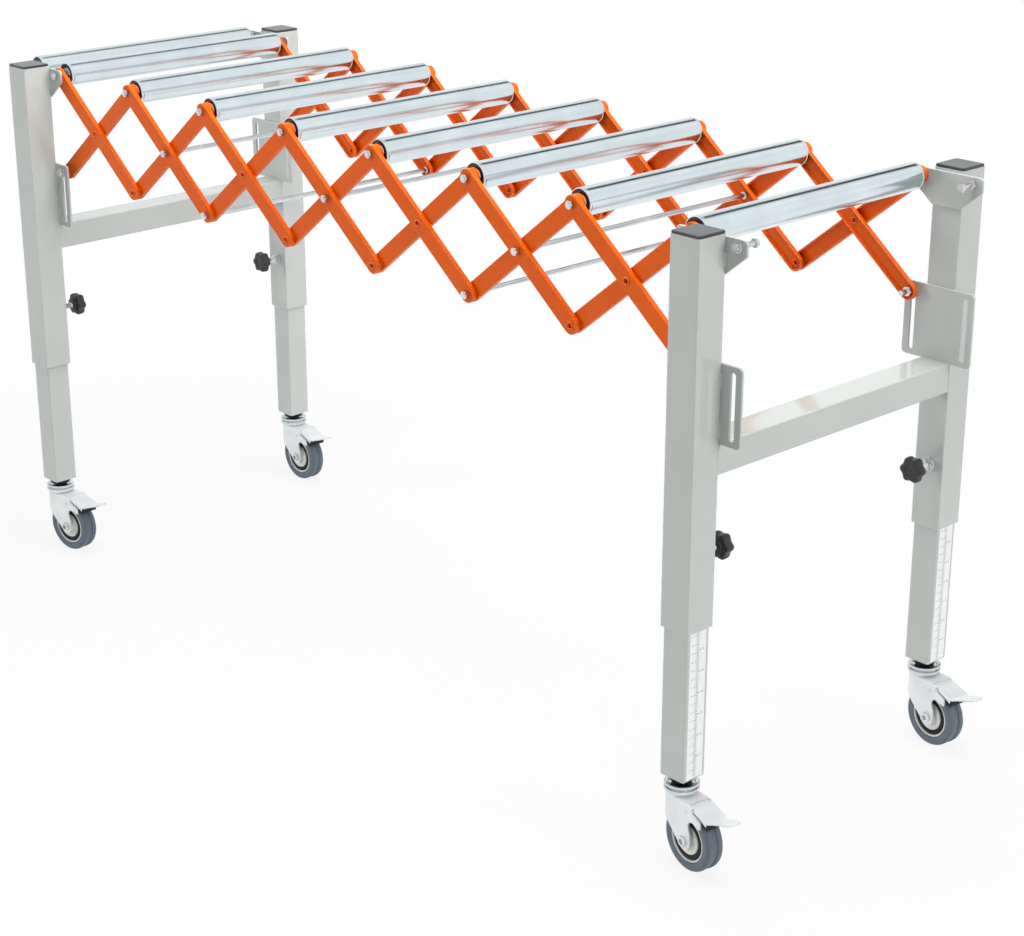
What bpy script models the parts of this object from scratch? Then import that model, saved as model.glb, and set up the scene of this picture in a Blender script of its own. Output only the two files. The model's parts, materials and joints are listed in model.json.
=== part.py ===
"""Extendable roller conveyor: two wheeled end frames joined by a scissor linkage that carries nine rollers.

X runs along the conveyor, Y across it and Z up. The floor is at Z = 0, and the origin lies on the floor
under the middle of the whole object. The linkage is drawn fully extended.
"""

import math

import bmesh
import bpy
from mathutils import Matrix, Vector

MM = 0.001

# Clearances
GAP = 0.3 * MM                  # between pieces that lie or run on each other
WELD = 0.5 * MM                 # how deep a welded or riveted piece bites into its neighbour

# End frames of square tube
TUBE = 40 * MM
TUBE_WALL = 2.2 * MM
POST_LENGTH = 430 * MM
FRAME_WIDTH = 434 * MM          # across the conveyor, between post axes
CROSSBAR_HEIGHT = 35 * MM
CROSSBAR_WALL = 2 * MM
DRAIN_HOLE = 6 * MM
CAP_HEIGHT = 3 * MM
CAP_PLUG = 10 * MM
CAP_EDGE = 1 * MM

# Sheet plates welded to the posts
PLATE = 3 * MM
EAR_REACH = 28 * MM             # from the post's face to the plate's edge
EAR_PIVOT = 16 * MM             # from the post's face to the pivot
EAR_EDGE = 17 * MM              # height of an ear's outer edge
BRACKET_HEIGHT = 40 * MM
BRACKET_DROP = 3 * MM           # plate's upper edge below the tube's end
PLATE_CORNER = 5 * MM
SLOT_LENGTH = 75 * MM
SLOT_WIDTH = 7 * MM
SLOT_MARGIN = 6.5 * MM          # sheet left above and below a slot

# Telescopic legs and their clamp knobs
LEG_LENGTH = 420 * MM
LEG_SHOWING = 177 * MM          # below the post, as drawn
LEG_WALL = 1.8 * MM
LEG_FLOOR = 6 * MM
KNOB_DROP = 351 * MM            # knob axis below the tube's end
KNOB_DIAMETER = 32 * MM
KNOB_WAVE = 2.6 * MM            # depth of the hollows between the lobes
KNOB_LOBES = 6
KNOB_THICKNESS = 13 * MM
KNOB_REACH = 37 * MM            # from the post's face to the knob's end
KNOB_HUB = 9 * MM
STUD = 8 * MM
WELD_NUT = 17 * MM
WELD_NUT_HEIGHT = 6 * MM

# Casters
CASTER_HEIGHT = 105 * MM        # floor to the leg's lower end
WHEEL_DIAMETER = 75 * MM
WHEEL_WIDTH = 23 * MM
WHEEL_SHOULDER = 2.5 * MM
WHEEL_RIM = 54 * MM
WHEEL_DISH = 3.5 * MM
WHEEL_HUB = 20 * MM
TRAIL = 24 * MM                 # from the swivel axis to the wheel axle
STEM = 12 * MM
STEM_NUT = 25 * MM
STEM_NUT_HEIGHT = 7 * MM
STEM_HEAD = 18 * MM
STEM_HEAD_HEIGHT = 2.5 * MM
SWIVEL_HEAD = 40 * MM
SWIVEL_HEAD_HEIGHT = 12.5 * MM
FORK_SHEET = 2.5 * MM
FORK_SIDE_GAP = 1.5 * MM        # between the tyre and a fork plate
FORK_BACK = 17 * MM             # how far the fork reaches ahead of the swivel axis
FORK_LOBE = 10 * MM             # round end of the fork plate about the axle
FORK_SHOULDER = 13 * MM         # height of the hood at the front
ARCH = 7 * MM                   # radius of the open arch behind the fork's leg
ARCH_RISE = 28 * MM             # top of the arch above the axle
ARM_REACH = 58 * MM             # from the swivel axis to the end of the arm beside the brake
ARM_DROP = 23 * MM              # arm's foot below the crown
ARM_HEIGHT = 9 * MM
WHEEL_AXLE = 8 * MM
WHEEL_BOLT_HEAD = 12 * MM
WHEEL_BOLT_HEIGHT = 4 * MM
PEDAL_PIVOT = 36 * MM           # from the swivel axis to the brake pedal's pin
PEDAL_PIVOT_DROP = 7 * MM       # pin below the fork's crown
PEDAL_BOSS = 3.5 * MM
PEDAL_PIN = 4 * MM
PEDAL_SHEET = 3 * MM
PEDAL_LENGTH = 93 * MM          # from the swivel axis to the pedal's tip
PEDAL_BEND = 61 * MM            # where the tread bends up
PEDAL_DIP = 12 * MM             # bend below the crown
PEDAL_RISE = 12 * MM            # tip above the bend
PEDAL_TRAVEL = math.radians(14)
TONGUE = 19 * MM                # width of the tread beyond the bend
PAD_WIDTH = 10 * MM
PAD_ANGLE = math.radians(45)    # where the pad meets the tyre, above the horizontal
SWIVEL_AS_DRAWN = {
    "front_near": math.radians(-8),
    "front_far": math.radians(-8),
    "rear_near": math.radians(9),
    "rear_far": math.radians(0),
}

# Scissor linkage
CELLS = 7
PITCH = 168 * MM                # between rollers, fully extended
LINK_RISE = 135 * MM            # from a lower pivot to the upper ones, fully extended
PIVOT_DROP = 11.5 * MM          # upper pivots below the tube's end
LINK_WIDTH = 21 * MM
LINK_DEPTH = 6 * MM
LINK_SHEET = 2 * MM
LINK_SHOULDER = 2.5 * MM        # pressed slope round the link's face
RIVET = 6 * MM
ROD = 6 * MM
ROD_NUT = 10 * MM
ROD_NUT_HEIGHT = 4 * MM
TIED_CELLS = (1, 3, 5)          # rising links whose crossing is a tie rod
LOWER_ROD_CELLS = (1, 4)        # falling links whose lower pivot is a tie rod

# Rollers on their axles
ROLLER_DIAMETER = 32 * MM
ROLLER_WALL = 1.5 * MM
BEARING_WIDTH = 11 * MM
ROLLER_SIDE_GAP = 1 * MM        # between the inner links and the roller
AXLE = 8 * MM
AXLE_COLLAR = 13 * MM
BOLT_HEAD = 12 * MM
BOLT_HEIGHT = 5 * MM
COUPLING_BOLT = 25 * MM         # spare bolt's length inside the ear
COUPLING_NUT = 6 * MM

# Facets
WHEEL_SIDES = 16
ROUND_SIDES = 12
PIN_SIDES = 8
LINK_SIDES = 10
CORNER_STEPS = 2
FLAT = math.cos(math.radians(0.05))

# Heights worked out from the sizes above
POST_FOOT = CASTER_HEIGHT + LEG_SHOWING
POST_TOP = POST_FOOT + POST_LENGTH
UPPER_PIVOT = POST_TOP - PIVOT_DROP
LOWER_PIVOT = UPPER_PIVOT - LINK_RISE
SLOT_TOP = LOWER_PIVOT + SLOT_WIDTH / 2 + GAP
SLOT_PLATE_TOP = SLOT_TOP + SLOT_MARGIN
SLOT_PLATE_HEIGHT = SLOT_LENGTH + 2 * SLOT_MARGIN
CROSSBAR_TOP = SLOT_PLATE_TOP - SLOT_PLATE_HEIGHT + WELD
KNOB_HEIGHT = POST_TOP - KNOB_DROP
FORK_TOP = CASTER_HEIGHT - STEM_NUT_HEIGHT - GAP
CROWN_TOP = FORK_TOP - SWIVEL_HEAD_HEIGHT
CROWN_FOOT = CROWN_TOP - FORK_SHEET

# Places along and across the conveyor
PIVOT_FROM_POST = TUBE / 2 + EAR_PIVOT
LINK_LENGTH = math.hypot(PITCH, LINK_RISE)
LINK_ANGLE = math.atan2(LINK_RISE, PITCH)
FIRST_PIVOT = -CELLS * PITCH / 2
LAST_PIVOT = FIRST_PIVOT + CELLS * PITCH
POST_SIDE = FRAME_WIDTH / 2
POST_FACE = POST_SIDE - TUBE / 2
PLATE_BACK = POST_FACE + WELD                     # outboard face of the bracket and slot plates
PLATE_FACE = PLATE_BACK - PLATE
OUTER_LINK = PLATE_FACE - GAP                     # outboard face of the outer layer of links
INNER_LINK = OUTER_LINK - LINK_DEPTH - GAP        # outboard face of the inner layer
ROLLER_END = INNER_LINK - LINK_DEPTH - ROLLER_SIDE_GAP
LEG = TUBE - 2 * TUBE_WALL - 2 * GAP
NEAR = -1
FAR = 1


def running_radius(shaft_radius, sides):
    """Radius of a faceted hole that clears a shaft by GAP all round."""
    return (shaft_radius + GAP) / math.cos(math.pi / sides)


def clear_scene():
    for item in list(bpy.data.objects):
        bpy.data.objects.remove(item)


def finish_material(name, colour, roughness, metallic):
    material = bpy.data.materials.new(name)
    material.use_nodes = True
    shader = material.node_tree.nodes["Principled BSDF"]
    shader.inputs["Base Color"].default_value = (*colour, 1)
    shader.inputs["Roughness"].default_value = roughness
    shader.inputs["Metallic"].default_value = metallic
    return material


def new_object(name, mesh):
    item = bpy.data.objects.new(name, mesh)
    PARTS.objects.link(item)
    return item


def from_bmesh(name, bm):
    bmesh.ops.recalc_face_normals(bm, faces=bm.faces)
    mesh = bpy.data.meshes.new(name)
    bm.to_mesh(mesh)
    bm.free()
    return new_object(name, mesh)


def join_flat_faces(bm):
    """Close up slivers, merge flat neighbours that share a single edge, and drop spare points."""
    bmesh.ops.triangulate(bm, faces=bm.faces)
    bmesh.ops.remove_doubles(bm, verts=bm.verts, dist=0.000002)
    bm.normal_update()
    for edge in list(bm.edges):
        if not edge.is_valid or len(edge.link_faces) != 2:
            continue
        first, second = edge.link_faces
        shared = set(first.verts) & set(second.verts)
        if len(shared) == 2 and first.normal.dot(second.normal) > FLAT:
            bmesh.utils.face_join((first, second), True)
    spare = []
    for vertex in bm.verts:
        if len(vertex.link_edges) == 2:
            ways = [(edge.other_vert(vertex).co - vertex.co).normalized() for edge in vertex.link_edges]
            if ways[0].dot(ways[1]) < -FLAT:
                spare.append(vertex)
    bmesh.ops.dissolve_verts(bm, verts=spare)


def bake(item):
    """Replace an object's mesh by what its modifiers make of it."""
    graph = bpy.context.evaluated_depsgraph_get()
    mesh = bpy.data.meshes.new_from_object(item.evaluated_get(graph))
    item.modifiers.clear()
    item.data = mesh
    bm = bmesh.new()
    bm.from_mesh(mesh)
    join_flat_faces(bm)
    bm.to_mesh(mesh)
    bm.free()


def combine(target, tool, operation):
    """Join a tool shape to the target, or cut it out, and drop the tool."""
    modifier = target.modifiers.new(operation, "BOOLEAN")
    modifier.operation = operation
    modifier.solver = "EXACT"
    modifier.object = tool
    bake(target)
    bpy.data.objects.remove(tool)


def weld_on(target, *pieces):
    for piece in pieces:
        combine(target, piece, "UNION")
    return target


def cut_out(target, *tools):
    for tool in tools:
        combine(target, tool, "DIFFERENCE")
    return target


def box(low, high):
    bm = bmesh.new()
    size = Vector(high) - Vector(low)
    middle = (Vector(high) + Vector(low)) / 2
    bmesh.ops.create_cube(bm, size=1, matrix=Matrix.Translation(middle) @ Matrix.Diagonal((*size, 1)))
    return from_bmesh("box", bm)


def bar_along_y(radius, start, end, x=0.0, z=0.0, sides=PIN_SIDES):
    bm = bmesh.new()
    place = Matrix.Translation((x, (start + end) / 2, z)) @ Matrix.Rotation(math.pi / 2, 4, "X")
    turn = Matrix.Rotation(math.pi / sides, 4, "Z")
    bmesh.ops.create_cone(
        bm,
        cap_ends=True,
        segments=sides,
        radius1=radius,
        radius2=radius,
        depth=abs(end - start),
        matrix=place @ turn,
    )
    return from_bmesh("bar", bm)


def turned(profile, sides, closed):
    """Revolve (radius, height) points, listed from the top down, about Z."""
    bm = bmesh.new()
    points = [bm.verts.new((radius, 0, height)) for radius, height in profile]
    pairs = list(zip(points, points[1:]))
    if closed:
        pairs.append((points[-1], points[0]))
    for pair in pairs:
        bm.edges.new(pair)
    mesh = bpy.data.meshes.new("turned")
    bm.to_mesh(mesh)
    bm.free()
    item = new_object("turned", mesh)
    screw = item.modifiers.new("Revolve", "SCREW")
    screw.steps = sides
    screw.render_steps = sides
    screw.use_merge_vertices = True
    screw.merge_threshold = 0.00001
    bake(item)
    bm = bmesh.new()
    bm.from_mesh(item.data)
    bmesh.ops.remove_doubles(bm, verts=bm.verts, dist=0.000001)
    bmesh.ops.recalc_face_normals(bm, faces=bm.faces)
    bm.to_mesh(item.data)
    bm.free()
    return item


def lay_along_y(item, x=0.0, z=0.0):
    """Turn a shape's Z axis to Y and move it to x and z."""
    item.data.transform(Matrix.Translation((x, 0, z)) @ Matrix.Rotation(-math.pi / 2, 4, "X"))
    return item


def stepped_bar(core, start, end, collars, x=0.0, z=0.0):
    """A bar along Y with thicker collars, each given as (start, end, radius)."""
    profile = [(core, start), (core, end)]
    for low, high, radius in collars:
        profile += [(core, low), (radius, low), (radius, high), (core, high)]
    stations = sorted({y for _, y in profile})
    steps = []
    for low, high in zip(stations, stations[1:]):
        inside = [r for a, b, r in collars if a <= low and high <= b]
        radius = max(inside, default=core)
        if steps and steps[-1][2] == radius:
            steps[-1] = (steps[-1][0], high, radius)
        else:
            steps.append((low, high, radius))
    line = [(0, steps[-1][1])]
    for low, high, radius in reversed(steps):
        line += [(radius, high), (radius, low)]
    line.append((0, steps[0][0]))
    return lay_along_y(turned(line, PIN_SIDES, closed=False), x, z)


def arc(centre, radius, start, end, steps):
    """Points of an arc, with its angles in degrees."""
    angles = [math.radians(start + (end - start) * i / steps) for i in range(steps + 1)]
    return [(centre[0] + radius * math.cos(a), centre[1] + radius * math.sin(a)) for a in angles]


def rounded_outline(low, high, radius):
    corners = [
        ((high[0] - radius, high[1] - radius), 0),
        ((low[0] + radius, high[1] - radius), 90),
        ((low[0] + radius, low[1] + radius), 180),
        ((high[0] - radius, low[1] + radius), 270),
    ]
    return [p for centre, start in corners for p in arc(centre, radius, start, start + 90, CORNER_STEPS)]


def slot_outline(x, low, high, width):
    upper = arc((x, high - width / 2), width / 2, 0, 180, 2 * CORNER_STEPS)
    lower = arc((x, low + width / 2), width / 2, 180, 360, 2 * CORNER_STEPS)
    return upper + lower


def hole_outline(x, z, radius):
    turn = 180 / PIN_SIDES
    return arc((x, z), radius, turn, 360 + turn, PIN_SIDES)[:-1]


def sheet(outlines, start, end):
    """A flat piece cut to (x, z) outlines, holes included, between two places along Y."""
    curve = bpy.data.curves.new("sheet", "CURVE")
    curve.dimensions = "2D"
    curve.fill_mode = "BOTH"
    curve.extrude = abs(end - start) / 2
    for outline in outlines:
        spline = curve.splines.new("POLY")
        spline.points.add(len(outline) - 1)
        for point, (x, z) in zip(spline.points, outline):
            point.co = (x, z, 0, 1)
        spline.use_cyclic_u = True
    drawn = new_object("sheet", curve)
    graph = bpy.context.evaluated_depsgraph_get()
    mesh = bpy.data.meshes.new_from_object(drawn.evaluated_get(graph))
    bpy.data.objects.remove(drawn)
    bm = bmesh.new()
    bm.from_mesh(mesh)
    join_flat_faces(bm)
    bm.transform(Matrix.Translation((0, (start + end) / 2, 0)) @ Matrix.Rotation(math.pi / 2, 4, "X"))
    return from_bmesh("sheet", bm)


def joint_empty(name, place, turn=(0, 0, 0)):
    """An empty on a moving body's joint axis, which the body's pieces hang on."""
    empty = bpy.data.objects.new(name, None)
    PARTS.objects.link(empty)
    empty.parent = CONVEYOR
    empty.location = place
    empty.rotation_euler = turn
    return empty


def finish(item, name, body, material, place=(0, 0, 0)):
    item.name = name
    item.data.name = name
    item.parent = body
    item.location = place
    item.data.materials.clear()
    item.data.materials.append(material)
    item.data.shade_smooth()
    item.data.set_sharp_from_angle(angle=math.radians(40))
    return item


def upright(item):
    """Turn a sheet drawn in side view into a plan, with its thickness along Z."""
    item.data.transform(Matrix.Rotation(math.pi / 2, 4, "X"))
    return item


def link_tray(side, outboard, start, end, holes):
    """A pressed channel link along local X, open inboard, with sloped shoulders and a rim all round."""
    bm = bmesh.new()
    radius = LINK_WIDTH / 2 / math.cos(math.pi / LINK_SIDES)
    turn = Matrix.Rotation(math.pi / 2, 4, "X") @ Matrix.Rotation(math.pi / LINK_SIDES, 4, "Z")
    disc = bmesh.ops.create_circle(bm, cap_ends=True, segments=LINK_SIDES, radius=radius, matrix=turn)
    for vertex in disc["verts"]:
        vertex.co.x += end if vertex.co.x > 0 else start
        vertex.co.y = side * (outboard - LINK_SHOULDER)
    face = bm.faces[:]
    pulled = bmesh.ops.extrude_face_region(bm, geom=face, use_keep_orig=True)
    rim = [g for g in pulled["geom"] if isinstance(g, bmesh.types.BMVert)]
    floor = [g for g in pulled["geom"] if isinstance(g, bmesh.types.BMFace)]
    bmesh.ops.translate(bm, verts=rim, vec=(0, -side * (LINK_DEPTH - LINK_SHOULDER), 0))
    bmesh.ops.recalc_face_normals(bm, faces=bm.faces)
    bmesh.ops.inset_region(bm, faces=floor, thickness=LINK_SHEET)
    bmesh.ops.translate(bm, verts=floor[0].verts[:], vec=(0, side * (LINK_DEPTH - LINK_SHEET), 0))
    bmesh.ops.inset_region(bm, faces=face, thickness=LINK_SHOULDER)
    bmesh.ops.translate(bm, verts=face[0].verts[:], vec=(0, side * LINK_SHOULDER, 0))
    tray = from_bmesh("tray", bm)
    web = (side * (outboard + LINK_SHEET), side * (outboard - 2 * LINK_SHEET))
    for x, shaft in holes:
        cut_out(tray, bar_along_y(running_radius(shaft / 2, PIN_SIDES), *web, x=x))
    return tray


def web_pin(side, outboard, reach, x):
    """A rivet shank fixed in a link's web, which runs through the web of the link beside it."""
    return bar_along_y(RIVET / 2, side * (outboard - LINK_SHEET / 2), side * reach, x=x)


def slot_pin(side, outboard, x):
    """The bolt that guides a lowest link end in the slot plate, with its head outside the plate."""
    shank = SLOT_WIDTH / 2 - GAP
    inner_end = outboard - LINK_SHEET - BOLT_HEIGHT
    head = (PLATE_BACK + GAP, PLATE_BACK + GAP + BOLT_HEIGHT, BOLT_HEAD / 2)
    collars = [head, (inner_end, outboard - WELD, BOLT_HEAD / 2)]
    if outboard == INNER_LINK:
        collars.append((outboard - WELD, PLATE_FACE - GAP, AXLE_COLLAR / 2))
    if side == NEAR:
        collars = [(-high, -low, radius) for low, high, radius in collars]
        return stepped_bar(shank, -head[1], -inner_end, collars, x)
    return stepped_bar(shank, inner_end, head[1], collars, x)


def frame_axle(x, far_link):
    """A roller axle through both frame ears, with spacers that suit the layer of the far link."""
    head = PLATE_BACK + GAP
    collars = [
        (head, head + BOLT_HEIGHT, BOLT_HEAD / 2),
        (-head - BOLT_HEIGHT, -head, BOLT_HEAD / 2),
        (-PLATE_FACE + GAP, -ROLLER_END - GAP, AXLE_COLLAR / 2),
    ]
    collars.append((ROLLER_END + GAP, far_link - LINK_SHEET - GAP, AXLE_COLLAR / 2))
    if far_link == INNER_LINK:
        collars.append((far_link + GAP, PLATE_FACE - GAP, AXLE_COLLAR / 2))
    return stepped_bar(AXLE / 2, -head - BOLT_HEIGHT, head + BOLT_HEIGHT, collars, x)


def link_axle():
    """A roller axle through a falling link's upper end and the rising links beside it."""
    nut = OUTER_LINK + GAP
    collars = [
        (-OUTER_LINK - BOLT_HEIGHT, -OUTER_LINK + WELD, BOLT_HEAD / 2),
        (nut, nut + BOLT_HEIGHT, BOLT_HEAD / 2),
    ]
    return stepped_bar(AXLE / 2, -OUTER_LINK - BOLT_HEIGHT, nut + BOLT_HEIGHT, collars)


def lower_rod():
    """A tie rod through lower pivots, fixed in the near falling link."""
    nut = OUTER_LINK + GAP
    collars = [
        (-OUTER_LINK - ROD_NUT_HEIGHT, -OUTER_LINK + WELD, ROD_NUT / 2),
        (nut, nut + ROD_NUT_HEIGHT, ROD_NUT / 2),
    ]
    return stepped_bar(ROD / 2, -OUTER_LINK - ROD_NUT_HEIGHT, nut + ROD_NUT_HEIGHT, collars, LINK_LENGTH)


def crossing_rod():
    """A tie rod through a crossing, fixed in both rising links."""
    nut = OUTER_LINK + GAP
    collars = [
        (-nut - ROD_NUT_HEIGHT, -nut, ROD_NUT / 2),
        (OUTER_LINK - WELD, OUTER_LINK + ROD_NUT_HEIGHT, ROD_NUT / 2),
    ]
    return stepped_bar(ROD / 2, -nut - ROD_NUT_HEIGHT, OUTER_LINK + ROD_NUT_HEIGHT, collars)


def falling_link(side, cell):
    """A link that falls along +X, its upper pivot at local X = 0. On the near side it lies outermost."""
    outboard = OUTER_LINK if side == NEAR else INNER_LINK
    beside = INNER_LINK - LINK_SHEET - GAP if side == NEAR else OUTER_LINK + GAP
    middle = LINK_LENGTH / 2
    holes = []
    pieces = []
    if side == NEAR:
        pieces.append(frame_axle(0, INNER_LINK) if cell == 0 else link_axle())
    else:
        holes.append((0, AXLE))
    if cell in TIED_CELLS:
        holes.append((middle, ROD))
    else:
        pieces.append(web_pin(side, outboard, beside, middle))
    if cell == CELLS - 1:
        pieces.append(slot_pin(side, outboard, LINK_LENGTH))
    elif cell not in LOWER_ROD_CELLS:
        pieces.append(web_pin(side, outboard, beside, LINK_LENGTH))
    elif side == NEAR:
        pieces.append(lower_rod())
    else:
        holes.append((LINK_LENGTH, ROD))
    return weld_on(link_tray(side, outboard, 0, LINK_LENGTH, holes), *pieces)


def rising_link(side, cell):
    """A link that rises along +X, with its crossing at local X = 0. On the near side it lies innermost."""
    outboard = INNER_LINK if side == NEAR else OUTER_LINK
    half = LINK_LENGTH / 2
    holes = []
    pieces = []
    if cell == CELLS - 1 and side == NEAR:
        pieces.append(frame_axle(half, OUTER_LINK))
    else:
        holes.append((half, AXLE))
    if cell not in TIED_CELLS:
        holes.append((0, RIVET))
    if cell == 0:
        pieces.append(slot_pin(side, outboard, -half))
    else:
        lower = ROD if cell - 1 in LOWER_ROD_CELLS else RIVET
        holes.append((-half, lower))
    return weld_on(link_tray(side, outboard, -half, half, holes), *pieces)


def roller():
    """A steel tube with a bearing in each end."""
    outer = ROLLER_DIAMETER / 2
    bore = running_radius(AXLE / 2, ROUND_SIDES)
    end = ROLLER_END
    inner = end - BEARING_WIDTH
    profile = [
        (outer, end),
        (outer, -end),
        (bore, -end),
        (bore, -inner),
        (outer - ROLLER_WALL, -inner),
        (outer - ROLLER_WALL, inner),
        (bore, inner),
        (bore, end),
    ]
    return lay_along_y(turned(profile, ROUND_SIDES, closed=True))


def bracket_plate(side, pivot_hole_x):
    """Top bracket with an ear on each side of the post, chamfered down to the post's width."""
    half = TUBE / 2 + EAR_REACH
    top = POST_TOP - BRACKET_DROP
    foot = top - BRACKET_HEIGHT
    edge = top - EAR_EDGE
    outline = [
        *arc((half - PLATE_CORNER, top - PLATE_CORNER), PLATE_CORNER, 0, 90, CORNER_STEPS),
        *arc((PLATE_CORNER - half, top - PLATE_CORNER), PLATE_CORNER, 90, 180, CORNER_STEPS),
        (-half, edge),
        (WELD - TUBE / 2, foot),
        (TUBE / 2 - WELD, foot),
        (half, edge),
    ]
    hole = hole_outline(pivot_hole_x, UPPER_PIVOT, running_radius(AXLE / 2, PIN_SIDES))
    return sheet([outline, hole], side * PLATE_BACK, side * PLATE_FACE)


def slot_plate(side):
    """Plate with a slot in each ear: one guides the linkage, the other couples the next conveyor."""
    half = TUBE / 2 + EAR_REACH
    foot = SLOT_PLATE_TOP - SLOT_PLATE_HEIGHT
    outline = rounded_outline((-half, foot), (half, SLOT_PLATE_TOP), PLATE_CORNER)
    slots = [
        slot_outline(x, SLOT_TOP - SLOT_LENGTH, SLOT_TOP, SLOT_WIDTH)
        for x in (-PIVOT_FROM_POST, PIVOT_FROM_POST)
    ]
    return sheet([outline, *slots], side * PLATE_BACK, side * PLATE_FACE)


def coupling_bolt(side, x):
    """Spare bolt through an outer ear, pointing inwards, with its nut on the ear."""
    tip = PLATE_FACE - COUPLING_BOLT
    nut = (PLATE_FACE - COUPLING_NUT, PLATE_FACE + WELD, BOLT_HEAD / 2)
    head = (tip, tip + BOLT_HEIGHT, BOLT_HEAD / 2)
    start = tip
    end = PLATE_BACK - PLATE / 2
    if side == NEAR:
        flipped = [(-high, -low, radius) for low, high, radius in (nut, head)]
        return stepped_bar(AXLE / 2, -end, -start, flipped, x, UPPER_PIVOT)
    return stepped_bar(AXLE / 2, start, end, [nut, head], x, UPPER_PIVOT)


def end_roller_axle(x):
    """Axle of the roller outside the rear frame, fixed in the frame's own ears."""
    head = PLATE_BACK - WELD
    collars = [
        (head, head + BOLT_HEIGHT, BOLT_HEAD / 2),
        (-head - BOLT_HEIGHT, -head, BOLT_HEAD / 2),
        (ROLLER_END + GAP, PLATE_FACE + WELD, AXLE_COLLAR / 2),
        (-PLATE_FACE - WELD, -ROLLER_END - GAP, AXLE_COLLAR / 2),
    ]
    return stepped_bar(AXLE / 2, -head - BOLT_HEIGHT, head + BOLT_HEIGHT, collars, x, UPPER_PIVOT)


def end_frame(inward):
    """Welded end frame about its own middle. inward is the direction of the linkage along X."""
    half = TUBE / 2
    bore = half - TUBE_WALL
    pivot = inward * PIVOT_FROM_POST
    bar = half - GAP
    low = CROSSBAR_TOP - CROSSBAR_HEIGHT
    frame = box((-bar, -POST_FACE - 2 * WELD, low), (bar, POST_FACE + 2 * WELD, CROSSBAR_TOP))
    for side in (NEAR, FAR):
        middle = side * POST_SIDE
        weld_on(
            frame,
            box((-half, middle - half, POST_FOOT), (half, middle + half, POST_TOP)),
            bracket_plate(side, pivot),
            slot_plate(side),
        )
        nut_end = side * (POST_FACE - WELD_NUT_HEIGHT)
        weld_on(frame, bar_along_y(WELD_NUT / 2, side * (POST_FACE + WELD), nut_end, z=KNOB_HEIGHT))
    for side in (NEAR, FAR):
        middle = side * POST_SIDE
        upper = POST_TOP + GAP
        lower = POST_FOOT - GAP
        stud_hole = running_radius(STUD / 2, PIN_SIDES)
        cut_out(
            frame,
            box((-bore, middle - bore, lower), (bore, middle + bore, upper)),
            bar_along_y(stud_hole, side * POST_SIDE, side * (PLATE_FACE - WELD_NUT_HEIGHT), z=KNOB_HEIGHT),
        )
        spare = coupling_bolt(side, -pivot) if inward < 0 else None
        if spare:
            weld_on(frame, spare)
    wall = CROSSBAR_WALL
    hollow = box((wall - bar, -PLATE_FACE, low + wall), (bar - wall, PLATE_FACE, CROSSBAR_TOP - wall))
    cut_out(frame, hollow)
    for side in (NEAR, FAR):
        y = side * (PLATE_FACE - 2 * DRAIN_HOLE)
        cut_out(frame, drain(y, low, low + 2 * wall))
    if inward > 0:
        weld_on(frame, end_roller_axle(-pivot))
    return frame


def drain(y, start, end):
    """A vent hole in the crossbar's underside."""
    bm = bmesh.new()
    radius = DRAIN_HOLE / 2
    place = Matrix.Translation((0, y, start))
    bmesh.ops.create_cone(
        bm,
        cap_ends=True,
        segments=PIN_SIDES,
        radius1=radius,
        radius2=radius,
        depth=2 * (end - start),
        matrix=place,
    )
    return from_bmesh("drain", bm)


def tube_cap():
    """Plastic cap about the post's axis, its underside at the tube's end."""
    half = TUBE / 2
    plug = half - TUBE_WALL - GAP
    top = box((-half, -half, GAP), (half, half, GAP + CAP_HEIGHT))
    edges = top.modifiers.new("Rounded edge", "BEVEL")
    edges.width = CAP_EDGE
    edges.segments = 1
    bake(top)
    return weld_on(top, box((-plug, -plug, -CAP_PLUG), (plug, plug, GAP + CAP_HEIGHT / 2)))


def inner_leg():
    """Telescopic leg from its lower end at local Z = 0, with the caster's nut and stem below."""
    half = LEG / 2
    leg = box((-half, -half, 0), (half, half, LEG_LENGTH))
    bore = half - LEG_WALL
    cut_out(leg, box((-bore, -bore, LEG_FLOOR), (bore, bore, LEG_LENGTH + GAP)))
    stem_foot = CROWN_FOOT - CASTER_HEIGHT - GAP
    profile = [
        (0, LEG_FLOOR / 2),
        (STEM_NUT / 2, LEG_FLOOR / 2),
        (STEM_NUT / 2, -STEM_NUT_HEIGHT),
        (STEM / 2, -STEM_NUT_HEIGHT),
        (STEM / 2, stem_foot),
        (STEM_HEAD / 2, stem_foot),
        (STEM_HEAD / 2, stem_foot - STEM_HEAD_HEIGHT),
        (0, stem_foot - STEM_HEAD_HEIGHT),
    ]
    return weld_on(leg, turned(profile, PIN_SIDES, closed=False))


def fork_outline():
    """Side view of the caster fork: a hood, a leg to the axle and an arm beside the brake."""
    axle = (TRAIL, WHEEL_DIAMETER / 2)
    leg_edge = TRAIL + FORK_LOBE
    arch = (leg_edge + ARCH / 2, axle[1] + ARCH_RISE - ARCH)
    arm_foot = CROWN_TOP - ARM_DROP
    pivot = (PEDAL_PIVOT, CROWN_TOP - PEDAL_PIVOT_DROP)
    return [
        (-FORK_BACK, CROWN_TOP),
        (-FORK_BACK, CROWN_TOP - FORK_SHOULDER),
        *arc(axle, FORK_LOBE, 215, 360, 2 * CORNER_STEPS),
        (leg_edge, axle[1] + FORK_LOBE),
        *arc(arch, ARCH, 190, 60, 2 * CORNER_STEPS),
        (ARM_REACH - ARM_HEIGHT, arm_foot),
        (ARM_REACH - ARM_HEIGHT / 3, arm_foot),
        (ARM_REACH, arm_foot + ARM_HEIGHT / 3),
        (ARM_REACH, arm_foot + ARM_HEIGHT),
        *arc(pivot, PEDAL_BOSS + FORK_SHEET, 60, 90, CORNER_STEPS),
        (STEM_HEAD, CROWN_TOP),
    ]


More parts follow.
